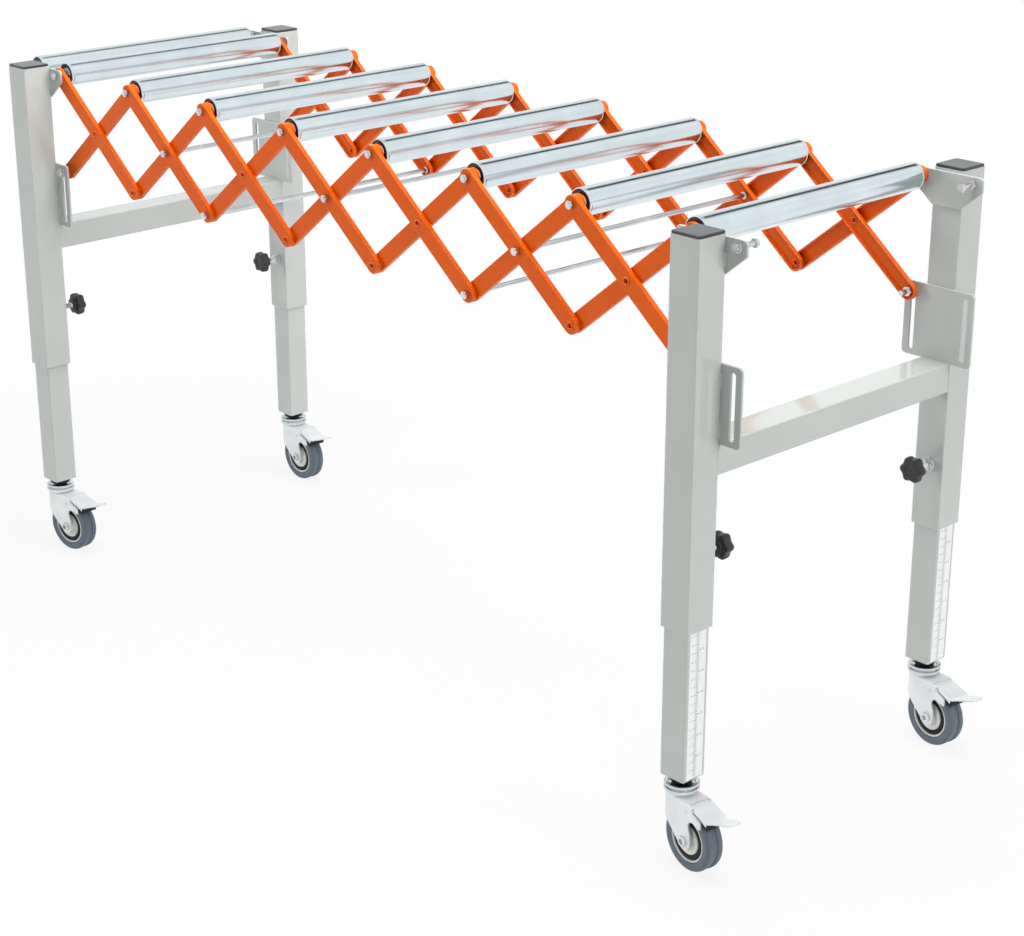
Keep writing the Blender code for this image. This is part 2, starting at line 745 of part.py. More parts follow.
def hood_plan(half, back):
    """Plan of the fork's bent sheet: round at the front, open at the rear, straight along the wheel."""
    bend = arc((half - back, 0), half, 90, 270, 3 * CORNER_STEPS)
    return [(2 * ARM_REACH, -half), (2 * ARM_REACH, half), *bend]


def caster_fork():
    """Swivel head, bent sheet fork and axle bolt, about the swivel axis with Z from the floor."""
    inner = WHEEL_WIDTH / 2 + FORK_SIDE_GAP
    outer = inner + FORK_SHEET
    ring = SWIVEL_HEAD / 2
    bore = running_radius(STEM / 2, ROUND_SIDES)
    fork = upright(sheet([hood_plan(outer, FORK_BACK)], 0, CROWN_TOP))
    inside = hood_plan(inner, FORK_BACK - FORK_SHEET)
    cut_out(fork, upright(sheet([inside], -GAP, CROWN_FOOT)))
    cut_out(fork, box((STEM_HEAD, -inner, CROWN_FOOT / 2), (3 * ARM_REACH, inner, FORK_TOP)))
    combine(fork, sheet([fork_outline()], -2 * outer, 2 * outer), "INTERSECT")
    drill = [(0, FORK_TOP), (bore, FORK_TOP), (bore, CROWN_FOOT / 2), (0, CROWN_FOOT / 2)]
    cut_out(fork, turned(drill, ROUND_SIDES, closed=False))
    profile = [
        (ring, FORK_TOP),
        (ring, CROWN_TOP - WELD),
        (bore, CROWN_TOP - WELD),
        (bore, FORK_TOP),
    ]
    weld_on(fork, turned(profile, ROUND_SIDES, closed=True))
    bolt = outer + WHEEL_BOLT_HEIGHT
    heads = [
        (-bolt, -outer + WELD, WHEEL_BOLT_HEAD / 2),
        (outer - WELD, bolt, WHEEL_BOLT_HEAD / 2),
    ]
    axle = stepped_bar(WHEEL_AXLE / 2, -bolt, bolt, heads, TRAIL, WHEEL_DIAMETER / 2)
    pin = bar_along_y(PEDAL_PIN / 2, -inner - WELD, inner + WELD, PEDAL_PIVOT, CROWN_TOP - PEDAL_PIVOT_DROP)
    return weld_on(fork, axle, pin)


def wheel():
    """Rubber tyre on a dished hub."""
    tread = WHEEL_DIAMETER / 2
    half = WHEEL_WIDTH / 2
    hub_end = half + FORK_SIDE_GAP - 2 * GAP
    bore = running_radius(WHEEL_AXLE / 2, WHEEL_SIDES)
    upper = [
        (bore, hub_end),
        (WHEEL_HUB / 2, hub_end),
        (WHEEL_RIM / 2, half - WHEEL_DISH),
        (WHEEL_RIM / 2, half),
        (tread - WHEEL_SHOULDER, half),
        (tread, half - WHEEL_SHOULDER),
    ]
    lower = [(radius, -y) for radius, y in reversed(upper)]
    return lay_along_y(turned(upper + lower, WHEEL_SIDES, closed=True))


def brake_pedal():
    """Foot lever about its pin, drawn released, with a pad that the full travel brings onto the tyre."""
    pin = Vector((PEDAL_PIVOT, CROWN_TOP - PEDAL_PIVOT_DROP))
    axle = Vector((TRAIL, WHEEL_DIAMETER / 2))
    release = Matrix.Rotation(PEDAL_TRAVEL, 2)
    pad = []
    for step in (1, 0, -1):
        angle = PAD_ANGLE + step * PAD_WIDTH / WHEEL_DIAMETER
        radial = Vector((math.cos(angle), math.sin(angle)))
        pad.append(tuple(release @ (axle + radial * (WHEEL_DIAMETER / 2 + GAP) - pin)))
    bend = (PEDAL_BEND - pin.x, CROWN_TOP - PEDAL_DIP - pin.y)
    tip = (PEDAL_LENGTH - pin.x, bend[1] + PEDAL_RISE)
    outline = [
        (-PEDAL_BOSS, PEDAL_BOSS),
        (-PEDAL_BOSS, -PEDAL_BOSS / 2),
        (-PEDAL_BOSS / 2, -PEDAL_BOSS),
        (PEDAL_BOSS / 2, -PEDAL_BOSS),
        (PEDAL_BOSS, -PEDAL_BOSS / 2),
        *pad,
        (bend[0], bend[1] - PEDAL_SHEET),
        (tip[0], tip[1] - PEDAL_SHEET),
        tip,
        bend,
        (PEDAL_BOSS, PEDAL_BOSS),
    ]
    half = WHEEL_WIDTH / 2 + FORK_SIDE_GAP - GAP
    tongue = TONGUE / 2
    plan = [
        (-2 * PEDAL_BOSS, half),
        (-2 * PEDAL_BOSS, -half),
        (bend[0], -half),
        (bend[0] + half - tongue, -tongue),
        *arc((tip[0] - tongue, 0), tongue, -90, 90, 2 * CORNER_STEPS),
        (bend[0] + half - tongue, tongue),
        (bend[0], half),
    ]
    lever = sheet([outline], -half, half)
    combine(lever, upright(sheet([plan], -PEDAL_LENGTH, PEDAL_LENGTH)), "INTERSECT")
    hole = bar_along_y(running_radius(PEDAL_PIN / 2, PIN_SIDES), -2 * half, 2 * half)
    return cut_out(lever, hole)


def clamp_knob():
    """Six-lobed knob on a threaded stud along -Y, from the leg's face at local Y = 0."""
    stud_start = -GAP
    leg_to_face = POST_SIDE - LEG / 2 - POST_FACE
    end = -leg_to_face - KNOB_REACH
    start = end + KNOB_THICKNESS
    middle = KNOB_DIAMETER / 2 - KNOB_WAVE / 2
    count = 4 * KNOB_LOBES
    star = []
    for i in range(count):
        angle = 2 * math.pi * i / count
        radius = middle + KNOB_WAVE / 2 * math.cos(KNOB_LOBES * angle)
        star.append((radius * math.cos(angle), radius * math.sin(angle)))
    knob = sheet([star], start, end)
    hub = bar_along_y(KNOB_HUB, start - WELD, start + STUD / 2)
    stud = bar_along_y(STUD / 2, start - WELD, stud_start)
    return weld_on(knob, hub, stud)


clear_scene()
PARTS = bpy.data.collections.new("extendable_roller_conveyor")
bpy.context.scene.collection.children.link(PARTS)
CONVEYOR = bpy.data.objects.new("conveyor", None)
PARTS.objects.link(CONVEYOR)

GREY_COAT = finish_material("grey powder coat", (0.39, 0.41, 0.38), 0.35, 0.0)
ORANGE_COAT = finish_material("orange powder coat", (0.80, 0.10, 0.004), 0.35, 0.0)
ZINC = finish_material("bright zinc plate", (0.62, 0.66, 0.70), 0.25, 1.0)
BLACK_PLASTIC = finish_material("black plastic", (0.025, 0.025, 0.027), 0.5, 0.0)
GREY_RUBBER = finish_material("blue-grey rubber", (0.10, 0.14, 0.17), 0.6, 0.0)

# Rear frame, the fixed base of the linkage, with the roller outside it
rear_middle = FIRST_PIVOT - PIVOT_FROM_POST
rear = joint_empty("rear_frame_base", (rear_middle, 0, 0))
finish(end_frame(1), "rear_frame", rear, GREY_COAT)

# Scissor linkage: falling and rising links by turns, each hung on the one before
for cell in range(CELLS):
    x = FIRST_PIVOT + cell * PITCH
    falling = joint_empty(f"falling_{cell}_pivot", (x, 0, UPPER_PIVOT), (0, LINK_ANGLE, 0))
    middle_height = UPPER_PIVOT - LINK_RISE / 2
    rising = joint_empty(f"rising_{cell}_pivot", (x + PITCH / 2, 0, middle_height), (0, -LINK_ANGLE, 0))
    for side, word in ((NEAR, "near"), (FAR, "far")):
        finish(falling_link(side, cell), f"falling_link_{word}_{cell}", falling, ORANGE_COAT)
    if cell in TIED_CELLS:
        pair = weld_on(rising_link(NEAR, cell), crossing_rod(), rising_link(FAR, cell))
        finish(pair, f"rising_links_tied_{cell}", rising, ORANGE_COAT)
    else:
        for side, word in ((NEAR, "near"), (FAR, "far")):
            finish(rising_link(side, cell), f"rising_link_{word}_{cell}", rising, ORANGE_COAT)

# Front frame, hung on the last rising links
front_middle = LAST_PIVOT + PIVOT_FROM_POST
front = joint_empty("front_frame_pivot", (LAST_PIVOT, 0, UPPER_PIVOT))
finish(end_frame(-1), "front_frame", front, GREY_COAT, (PIVOT_FROM_POST, 0, -UPPER_PIVOT))

# Rollers, the first outside the rear frame and the last on the front frame's ears
roller_places = [rear_middle - PIVOT_FROM_POST]
roller_places += [FIRST_PIVOT + i * PITCH for i in range(CELLS + 1)]
for number, x in enumerate(roller_places):
    spin = joint_empty(f"roller_{number}_axle", (x, 0, UPPER_PIVOT))
    finish(roller(), f"roller_{number}", spin, ZINC)

# Caps, telescopic legs, knobs and casters at the four posts
for frame_word, post_x in (("rear", rear_middle), ("front", front_middle)):
    for side, side_word in ((NEAR, "near"), (FAR, "far")):
        corner = f"{frame_word}_{side_word}"
        post_y = side * POST_SIDE
        base = rear if frame_word == "rear" else front
        cap_x = 0 if frame_word == "rear" else PIVOT_FROM_POST
        cap_z = POST_TOP if frame_word == "rear" else POST_TOP - UPPER_PIVOT
        finish(tube_cap(), f"tube_cap_{corner}", base, BLACK_PLASTIC, (cap_x, post_y, cap_z))
        leg = joint_empty(f"leg_{corner}_slide", (post_x, post_y, CASTER_HEIGHT))
        finish(inner_leg(), f"leg_{corner}", leg, GREY_COAT)
        knob_y = side * (POST_SIDE - LEG / 2)
        knob_turn = math.pi if side == NEAR else 0
        knob = joint_empty(f"knob_{corner}_axis", (post_x, knob_y, KNOB_HEIGHT), (0, 0, knob_turn))
        finish(clamp_knob(), f"knob_{corner}", knob, BLACK_PLASTIC)
        swivel = SWIVEL_AS_DRAWN[corner]
        fork = joint_empty(f"fork_{corner}_swivel", (post_x, post_y, 0), (0, 0, swivel))
        finish(caster_fork(), f"caster_fork_{corner}", fork, ZINC)
        ahead = Vector((math.cos(swivel), math.sin(swivel), 0))
        post = Vector((post_x, post_y, 0))
        axle_place = post + ahead * TRAIL + Vector((0, 0, WHEEL_DIAMETER / 2))
        axle = joint_empty(f"wheel_{corner}_axle", axle_place, (0, 0, swivel))
        finish(wheel(), f"wheel_{corner}", axle, GREY_RUBBER)
        pin_place = post + ahead * PEDAL_PIVOT + Vector((0, 0, CROWN_TOP - PEDAL_PIVOT_DROP))
        pin = joint_empty(f"pedal_{corner}_pin", pin_place, (0, 0, swivel))
        finish(brake_pedal(), f"brake_pedal_{corner}", pin, ZINC)

# Centre the whole object over the origin
bpy.context.view_layer.update()
meshes = [item for item in PARTS.objects if item.type == "MESH"]
corners = [item.matrix_world @ vertex.co for item in meshes for vertex in item.data.vertices]
for axis in (0, 1):
    low = min(corner[axis] for corner in corners)
    high = max(corner[axis] for corner in corners)
    CONVEYOR.location[axis] = -(low + high) / 2
bpy.context.view_layer.update()
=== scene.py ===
import json
import math

import bmesh
import bpy
from mathutils import Matrix, Vector
from mathutils.geometry import tessellate_polygon


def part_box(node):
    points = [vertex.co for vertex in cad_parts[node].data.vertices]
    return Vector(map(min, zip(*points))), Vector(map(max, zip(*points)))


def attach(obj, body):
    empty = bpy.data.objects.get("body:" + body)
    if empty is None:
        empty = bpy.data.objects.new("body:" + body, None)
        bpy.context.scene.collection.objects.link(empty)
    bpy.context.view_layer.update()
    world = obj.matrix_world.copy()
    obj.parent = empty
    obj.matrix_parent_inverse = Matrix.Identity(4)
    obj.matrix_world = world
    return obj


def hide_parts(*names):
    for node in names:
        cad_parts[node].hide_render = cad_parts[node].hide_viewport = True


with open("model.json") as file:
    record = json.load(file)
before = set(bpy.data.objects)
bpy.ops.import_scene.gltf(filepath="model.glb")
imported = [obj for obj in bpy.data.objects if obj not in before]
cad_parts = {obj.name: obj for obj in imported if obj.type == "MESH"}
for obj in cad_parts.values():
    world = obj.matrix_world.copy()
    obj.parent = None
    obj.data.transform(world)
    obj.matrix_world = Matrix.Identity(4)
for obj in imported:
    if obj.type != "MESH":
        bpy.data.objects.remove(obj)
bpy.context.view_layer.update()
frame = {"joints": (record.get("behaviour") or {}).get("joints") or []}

# Posts: four lengths of 40 mm square steel tube, cold rolled with tight corners and sawn off square.
# They are welded into the two end frames, and each frame is powder coated light grey as a whole.
mm = 0.001
tube_half = 20 * mm
tube_wall = 2.2 * mm
tube_corner = 1.6 * mm
sawn_edge = 0.4 * mm
cap_height = 3.3 * mm
corners = {}
for corner in ("rear_near", "rear_far", "front_near", "front_far"):
    leg_low, leg_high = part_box("leg_" + corner)
    corners[corner] = (leg_low + leg_high) / 2
post_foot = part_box("rear_frame")[0].z
post_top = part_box("tube_cap_rear_near")[1].z - cap_height


def linear(hex_colour):
    """Linear RGBA of an sRGB hex colour."""
    parts = [int(hex_colour[i:i + 2], 16) / 255 for i in (0, 2, 4)]
    return (*[c / 12.92 if c <= 0.04045 else ((c + 0.055) / 1.055) ** 2.4 for c in parts], 1.0)


def add_node(tree, kind, settings=None, links=None):
    """Add one node, set its options and sockets by name, and feed its inputs from other nodes."""
    node = tree.nodes.new(kind)
    for name, value in (settings or {}).items():
        if isinstance(name, str) and hasattr(node, name):
            setattr(node, name, value)
        else:
            node.inputs[name].default_value = value
    for name, (source, output) in (links or {}).items():
        tree.links.new(source.outputs[output], node.inputs[name])
    return node


def new_finish(name, settings):
    """A material with its Principled shader's constant sockets set. Returns it, its tree and its shader."""
    finish = bpy.data.materials.new(name)
    finish.use_nodes = True
    tree = finish.node_tree
    shader = tree.nodes["Principled BSDF"]
    for socket, value in settings.items():
        shader.inputs[socket].default_value = value
    return finish, tree, shader


def feed(tree, shader, colour, gloss, bump):
    """Plug in a colour, a roughness as (source, output, low, high) and a bump as (noise, strength, depth)."""
    source, output, low, high = gloss
    rough = add_node(tree, "ShaderNodeMapRange", {"To Min": low, "To Max": high}, {"Value": (source, output)})
    grain, strength, depth = bump
    settings = {"Strength": strength, "Distance": depth}
    skin = add_node(tree, "ShaderNodeBump", settings, {"Height": (grain, "Fac")})
    tree.links.new(colour.outputs["Color"], shader.inputs["Base Color"])
    tree.links.new(rough.outputs["Result"], shader.inputs["Roughness"])
    tree.links.new(skin.outputs["Normal"], shader.inputs["Normal"])


def powder_coat(name, thin, thick, edge, shine):
    """Baked powder paint: an even gloss with a fine orange peel, and the edge colour painted along sharp
    edges as a highlight.
    """
    settings = {"Coat Roughness": 0.06, "IOR": 1.5, "Specular IOR Level": 0.1, **shine}
    finish, tree, shader = new_finish(name, settings)
    own = {"Vector": (add_node(tree, "ShaderNodeTexCoord"), "Object")}
    drift = add_node(tree, "ShaderNodeTexNoise", {"Scale": 1 / (90 * mm), "Detail": 3}, own)
    haze = add_node(tree, "ShaderNodeTexNoise", {"Scale": 1 / (14 * mm), "Detail": 4}, own)
    peel = add_node(tree, "ShaderNodeTexNoise", {"Scale": 1 / (2.4 * mm), "Detail": 2}, own)
    colours = {"Color1": linear(thin), "Color2": linear(thick)}
    tone = add_node(tree, "ShaderNodeMixRGB", colours, {"Fac": (drift, "Fac")})
    # Painted highlight: where the surface turns sharply, the edge colour is mixed in to stand in for light
    # caught by edges and folds.
    rounded = add_node(tree, "ShaderNodeBevel", {"Radius": 1.4 * mm, "samples": 4})
    face = add_node(tree, "ShaderNodeNewGeometry")
    normals = {0: (rounded, "Normal"), 1: (face, "Normal")}
    turning = add_node(tree, "ShaderNodeVectorMath", {"operation": "DOT_PRODUCT"}, normals)
    limits = {"From Min": 0.99, "From Max": 0.86, "To Max": 0.55}
    painted_edge_highlight = add_node(tree, "ShaderNodeMapRange", limits, {"Value": (turning, "Value")})
    sources = {"Fac": (painted_edge_highlight, "Result"), "Color1": (tone, "Color")}
    colour = add_node(tree, "ShaderNodeMixRGB", {"Color2": linear(edge)}, sources)
    feed(tree, shader, colour, (haze, "Fac", 0.26, 0.4), (peel, 0.06, 0.3 * mm))
    return finish


def rounded_square(half_u, half_v, corner, steps=5):
    """Rectangle with round corners, anticlockwise."""
    points = []
    for quarter, (sign_u, sign_v) in enumerate(((1, 1), (-1, 1), (-1, -1), (1, -1))):
        centre = (sign_u * (half_u - corner), sign_v * (half_v - corner))
        for i in range(steps + 1):
            angle = math.radians(90 * (quarter + i / steps))
            points.append((centre[0] + corner * math.cos(angle), centre[1] + corner * math.sin(angle)))
    return points


def sawn_tube(half, corner, low, high):
    """Levels of a square tube's outside, with the edges of both sawn ends broken a little."""
    skin = rounded_square(half, half, corner)
    cut = rounded_square(half - sawn_edge, half - sawn_edge, corner)
    return [(cut, low), (skin, low + sawn_edge), (skin, high - sawn_edge), (cut, high)]


def bridge(bm, lower, upper):
    """Faces between two rings of equal count."""
    for i in range(len(lower)):
        j = (i + 1) % len(lower)
        bm.faces.new((lower[i], lower[j], upper[j], upper[i]))


def loft(bm, levels, place, closed=False, holes=()):
    """Skin rings of equal count, each with its height. A closed loft meets itself; an open one is capped.

    Holes are outlines that pass from the first level's cap to the last one's.
    """
    rings = [[bm.verts.new(place @ Vector((u, v, height))) for u, v in ring] for ring, height in levels]
    ends = {0: [rings[0]], -1: [rings[-1]]}
    walls = list(zip(rings, rings[1:]))
    if closed:
        walls.append((rings[-1], rings[0]))
    for hole in holes:
        lips = [[bm.verts.new(place @ Vector((u, v, levels[end][1]))) for u, v in hole] for end in ends]
        ends[0].append(lips[0])
        ends[-1].append(lips[1])
        walls.append(lips)
    for lower, upper in walls:
        bridge(bm, lower, upper)
    if closed:
        return
    for end, loops in ends.items():
        if len(loops) == 1:
            bm.faces.new(loops[0])
            continue
        outlines = [[Vector((u, v, 0)) / mm for u, v in outline] for outline in (levels[end][0], *holes)]
        points = [point for loop in loops for point in loop]
        for triangle in tessellate_polygon(outlines):
            bm.faces.new([points[i] for i in triangle])


def make_piece(name, bm, finish, slot, body, *nodes):
    """Turn a bmesh into a named piece that rides on its body and stands for the nodes given."""
    bmesh.ops.recalc_face_normals(bm, faces=bm.faces[:])
    mesh = bpy.data.meshes.new(name)
    bm.to_mesh(mesh)
    bm.free()
    mesh.shade_smooth()
    mesh.set_sharp_from_angle(angle=math.radians(32))
    mesh.materials.append(finish)
    made = bpy.data.objects.new(name, mesh)
    bpy.context.scene.collection.objects.link(made)
    flats = made.modifiers.new("flat faces stay flat", "WEIGHTED_NORMAL")
    flats.keep_sharp = True
    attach(made, body)
    if nodes:
        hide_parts(*nodes)
    return made


# Its last colour, D8DBD9, is a painted highlight along the frames' sharp edges.
grey_coat = powder_coat(
    "light_grey_powder_coat_on_steel", "B6BBB7", "BFC4C0", "D8DBD9", {"Coat Weight": 0.9, "Coat IOR": 1.6}
)
tube_bore = rounded_square(tube_half - tube_wall, tube_half - tube_wall, tube_corner / 2)
for end in ("rear", "front"):
    posts = bmesh.new()
    for side in ("near", "far"):
        axis = corners[f"{end}_{side}"]
        levels = sawn_tube(tube_half, tube_corner, post_foot, post_top)
        levels += [(tube_bore, post_top), (tube_bore, post_foot)]
        loft(posts, levels, Matrix.Translation((axis.x, axis.y, 0)), closed=True)
    make_piece(end + "_posts", posts, grey_coat, "grey_powder_coat", end + "_frame", end + "_frame")

# Crossbars: one 40 by 35 mm tube between the posts of each frame, fillet welded all round at both ends.
# The beads are hand laid, so they ripple, and the powder coat runs over them.
crossbar_half = 19.7 * mm
crossbar_top = 488.3 * mm
crossbar_height = 35 * mm
bead_radius = 1.7 * mm
bead_inset = 0.6 * mm
weld_bite = 0.5 * mm
ripple = 2.6 * mm


def seat(origin, u, v, w):
    """Matrix that takes local (u, v, height) to the row frame."""
    axes = Matrix((Vector(u).normalized(), Vector(v).normalized(), Vector(w).normalized())).transposed()
    return Matrix.Translation(origin) @ axes.to_4x4()


def facing_y(origin, sign=1):
    """Seat whose height runs along Y, with u along X and v upwards."""
    return seat(origin, (1, 0, 0), (0, 0, 1), (0, sign, 0))


def weld_bead(bm, path, radius):
    """A rippled bead along a line of points, tapered at both ends."""
    spots = []
    for start, stop in zip(path, path[1:]):
        count = max(2, int((stop - start).length / (ripple / 4)))
        spots += [start.lerp(stop, i / count) for i in range(count)]
    spots.append(path[-1])
    travelled = 0.0
    rings = []
    for i, spot in enumerate(spots):
        before, after = spots[max(i - 1, 0)], spots[min(i + 1, len(spots) - 1)]
        along = (after - before).normalized()
        travelled += (spot - before).length
        across = along.orthogonal().normalized()
        up = along.cross(across)
        width = radius * (1 + 0.14 * math.sin(2 * math.pi * travelled / ripple))
        if i in (0, len(spots) - 1):
            width = radius * 0.3
        rings.append([
            bm.verts.new(spot + width * (math.cos(a) * across + math.sin(a) * up))
            for a in [2 * math.pi * k / 8 for k in range(8)]
        ])
    for lower, upper in zip(rings, rings[1:]):
        bridge(bm, lower, upper)
    bm.faces.new(rings[0])
    bm.faces.new(rings[-1])


for end in ("rear", "front"):
    near, far = corners[end + "_near"], corners[end + "_far"]
    bar = bmesh.new()
    section = rounded_square(crossbar_half, crossbar_height / 2, tube_corner)
    bar_z = crossbar_top - crossbar_height / 2
    faces = (near.y + tube_half, far.y - tube_half)
    levels = [(section, faces[0] - weld_bite), (section, faces[1] + weld_bite)]
    loft(bar, levels, facing_y((near.x, 0, bar_z)))
    make_piece(end + "_crossbar", bar, grey_coat, "grey_powder_coat", end + "_frame")
    beads = bmesh.new()
    for y in faces:
        for sign in (-1, 1):
            x = near.x + sign * (crossbar_half - bead_inset)
            upright = [Vector((x, y, bar_z - 14 * mm)), Vector((x, y, bar_z + 15 * mm))]
            weld_bead(beads, upright, bead_radius)
        z = crossbar_top - crossbar_height
        level = [Vector((near.x - 17 * mm, y, z)), Vector((near.x + 17 * mm, y, z))]
        weld_bead(beads, level, bead_radius)
    make_piece(end + "_weld_beads", beads, grey_coat, "grey_powder_coat", end + "_frame")

# Bracket and slot plates: 3 mm steel sheet, laser cut with holes and slots and stitch welded to the posts.
# The upper ears carry the end rollers and links, the slots below guide the links or couple a second conveyor.
middle_y = (corners["rear_near"].y + corners["rear_far"].y) / 2
plate_back = 197.5 * mm
plate_face = 194.5 * mm
plate_edge = 0.45 * mm
ear_half = 48 * mm
pivot_from_post = 36 * mm
pivot_z = frame["joints"][0]["pos_m"][2]
slot_top = 569.3 * mm
slot_length = 75 * mm
slot_half = 3.5 * mm
slot_margin = 6.5 * mm


def circle(radius, sides=24):
    """Round outline, anticlockwise."""
    angles = [2 * math.pi * i / sides for i in range(sides)]
    return [(radius * math.cos(a), radius * math.sin(a)) for a in angles]


def moved(points, du, dv):
    """An outline shifted in its own plane."""
    return [(u + du, v + dv) for u, v in points]


def inset(points, distance):
    """An anticlockwise outline moved inwards by a distance."""
    moved_in = []
    for i, point in enumerate(points):
        before = Vector(point) - Vector(points[i - 1])
        after = Vector(points[(i + 1) % len(points)]) - Vector(point)
        left = Vector((-before.y, before.x)).normalized() + Vector((-after.y, after.x)).normalized()
        bend = left.length / 2
        moved_in.append(tuple(Vector(point) + left.normalized() * distance / max(bend, 0.5)))
    return moved_in


def plate_levels(outline, thickness):
    """Levels of a flat plate whose edges are broken on both faces."""
    drawn_in = inset(outline, plate_edge)
    return [(drawn_in, 0), (outline, plate_edge), (outline, thickness - plate_edge), (drawn_in, thickness)]


bracket_top = post_top - 3 * mm
bracket_foot = bracket_top - 40 * mm
ear_foot = bracket_top - 17 * mm
bracket_outline = [
    *moved(rounded_square(ear_half, 10 * mm, 5 * mm), 0, bracket_top - 10 * mm)[:12],
    (-ear_half, ear_foot),
    (-19.5 * mm, bracket_foot),
    (19.5 * mm, bracket_foot),
    (ear_half, ear_foot),
]
slot_middle = slot_top - slot_length / 2
slot_outline = moved(rounded_square(ear_half, slot_length / 2 + slot_margin, 5 * mm), 0, slot_middle)
slot_hole = moved(rounded_square(slot_half, slot_length / 2, 0.99 * slot_half), 0, slot_middle)
stitches = [(bracket_foot + 8 * mm, bracket_foot + 24 * mm), (495 * mm, 512 * mm), (548 * mm, 565 * mm)]
for end in ("rear", "front"):
    plates = bmesh.new()
    for side, sign in (("near", -1), ("far", 1)):
        origin = (corners[f"{end}_{side}"].x, middle_y + sign * plate_back, 0)
        inboard = facing_y(origin, -sign)
        ears = [moved(circle(4.3 * mm), u, pivot_z) for u in (-pivot_from_post, pivot_from_post)]
        loft(plates, plate_levels(bracket_outline, plate_back - plate_face), inboard, holes=ears)
        slots = [moved(slot_hole, u, 0) for u in (-pivot_from_post, pivot_from_post)]
        loft(plates, plate_levels(slot_outline, plate_back - plate_face), inboard, holes=slots)
    make_piece(end + "_plates", plates, grey_coat, "grey_powder_coat", end + "_frame")
    seams = bmesh.new()
    for side, sign in (("near", -1), ("far", 1)):
        post = corners[f"{end}_{side}"]
        y = middle_y + sign * (plate_back - 0.4 * mm)
        for edge in (-1, 1):
            x = post.x + edge * tube_half
            for low, high in stitches:
                weld_bead(seams, [Vector((x, y, low)), Vector((x, y, high))], 1.3 * mm)
    make_piece(end + "_plate_welds", seams, grey_coat, "grey_powder_coat", end + "_frame")

# Clamp nuts: an M8 hexagon nut on a washer, fixed to each post's inner face for the clamp knob's stud.
# They are turned steel, bright zinc plated and fitted after the paint, like all the bolts on the conveyor.
knob_z = {c: next(j["pos_m"][2] for j in frame["joints"] if j["name"] == f"knob_{c}_turn") for c in corners}


def zinc_plate(name, dull, bright, smooth, rough, grain, metal=1.0):
    """Bright zinc over steel: a cool white metal, clouded by the bath and streaked the way it was drawn.

    grain is the streaks' size along X, Y and Z in millimetres, wider than the real ones so that they show.
    """
    finish, tree, shader = new_finish(name, {"Metallic": metal})
    own = {"Vector": (add_node(tree, "ShaderNodeTexCoord"), "Object")}
    cloud = add_node(tree, "ShaderNodeTexNoise", {"Scale": 1 / (45 * mm), "Detail": 3}, own)
    drawn = add_node(tree, "ShaderNodeMapping", {"Scale": tuple(1 / (size * mm) for size in grain)}, own)
    streak = add_node(tree, "ShaderNodeTexNoise", {"Scale": 1.0, "Detail": 3}, {"Vector": (drawn, "Vector")})
    sources = {0: (cloud, "Fac"), 1: (streak, "Fac")}
    mixed = add_node(tree, "ShaderNodeMath", {"operation": "MULTIPLY"}, sources)
    limits = {"From Min": 0.08, "From Max": 0.46}
    spread = add_node(tree, "ShaderNodeMapRange", limits, {"Value": (mixed, "Value")})
    colours = {"Color1": linear(dull), "Color2": linear(bright)}
    colour = add_node(tree, "ShaderNodeMixRGB", colours, {"Fac": (spread, "Result")})
    feed(tree, shader, colour, (spread, "Result", rough, smooth), (streak, 0.03, 0.1 * mm))
    return finish


def hexagon(flats, reach=1.0):
    """Hexagon of that width across flats, its corners turned back to the radius reach. 24 points."""
    points = []
    for i in range(24):
        angle = 2 * math.pi * i / 24
        radius = min(flats / 2 / math.cos(angle % (math.pi / 3) - math.pi / 6), reach)
        points.append((radius * math.cos(angle), radius * math.sin(angle)))
    return points


def bolt_head(flats, reach, face, top, chamfer=0.8 * mm):
    """Levels of a hexagon head or nut from its seat to its top, its corners turned back there to reach."""
    shoulder = top - math.copysign(chamfer, top - face)
    return [(hexagon(flats), face), (hexagon(flats), shoulder), (hexagon(flats, reach), top)]


bright_bolt = zinc_plate("bright_zinc_plated_hardware", "C6CCD0", "E6EAEC", 0.14, 0.26, (9, 30, 9))
for end in ("rear", "front"):
    nuts = bmesh.new()
    for side, sign in (("near", -1), ("far", 1)):
        post = corners[f"{end}_{side}"]
        origin = (post.x, post.y - sign * tube_half, knob_z[f"{end}_{side}"])
        inboard = facing_y(origin, -sign)
        washer = [(circle(8.4 * mm), -0.2 * mm), (circle(8.4 * mm), 1.2 * mm), (circle(8.0 * mm), 1.6 * mm)]
        nut = [(hexagon(13 * mm, 6.89 * mm), 1.6 * mm), *bolt_head(13 * mm, 6.37 * mm, 2.1 * mm, 6 * mm)]
        bore = circle(4.2 * mm)
        loft(nuts, washer + nut + [(bore, 6 * mm), (bore, -0.2 * mm)], inboard, closed=True)
    make_piece(end + "_clamp_nuts", nuts, bright_bolt, "zinc_caster", end + "_frame")

# Tube caps: square plugs of black polyethylene, injection moulded with a softly rounded top.
# They are pressed into the posts by hand and only the top 3 mm shows.


def moulded(name, dark, light, smooth, rough, grain, depth, shine, patch=18):
    """Moulded plastic or rubber: an even colour, greyer in patches from handling, with the tool's fine grain.

    patch is the patches' size in millimetres. The grain is coarser than the real tool's, so that it shows.
    """
    finish, tree, shader = new_finish(name, {"IOR": 1.5, "Coat Roughness": 0.2, **shine})
    own = {"Vector": (add_node(tree, "ShaderNodeTexCoord"), "Object")}
    handled = add_node(tree, "ShaderNodeTexNoise", {"Scale": 1 / (patch * mm), "Detail": 4}, own)
    tooled = add_node(tree, "ShaderNodeTexNoise", {"Scale": 1 / grain, "Detail": 2}, own)
    colours = {"Color1": linear(dark), "Color2": linear(light)}
    colour = add_node(tree, "ShaderNodeMixRGB", colours, {"Fac": (handled, "Fac")})
    feed(tree, shader, colour, (handled, "Fac", smooth, rough), (tooled, 0.25, depth))
    return finish


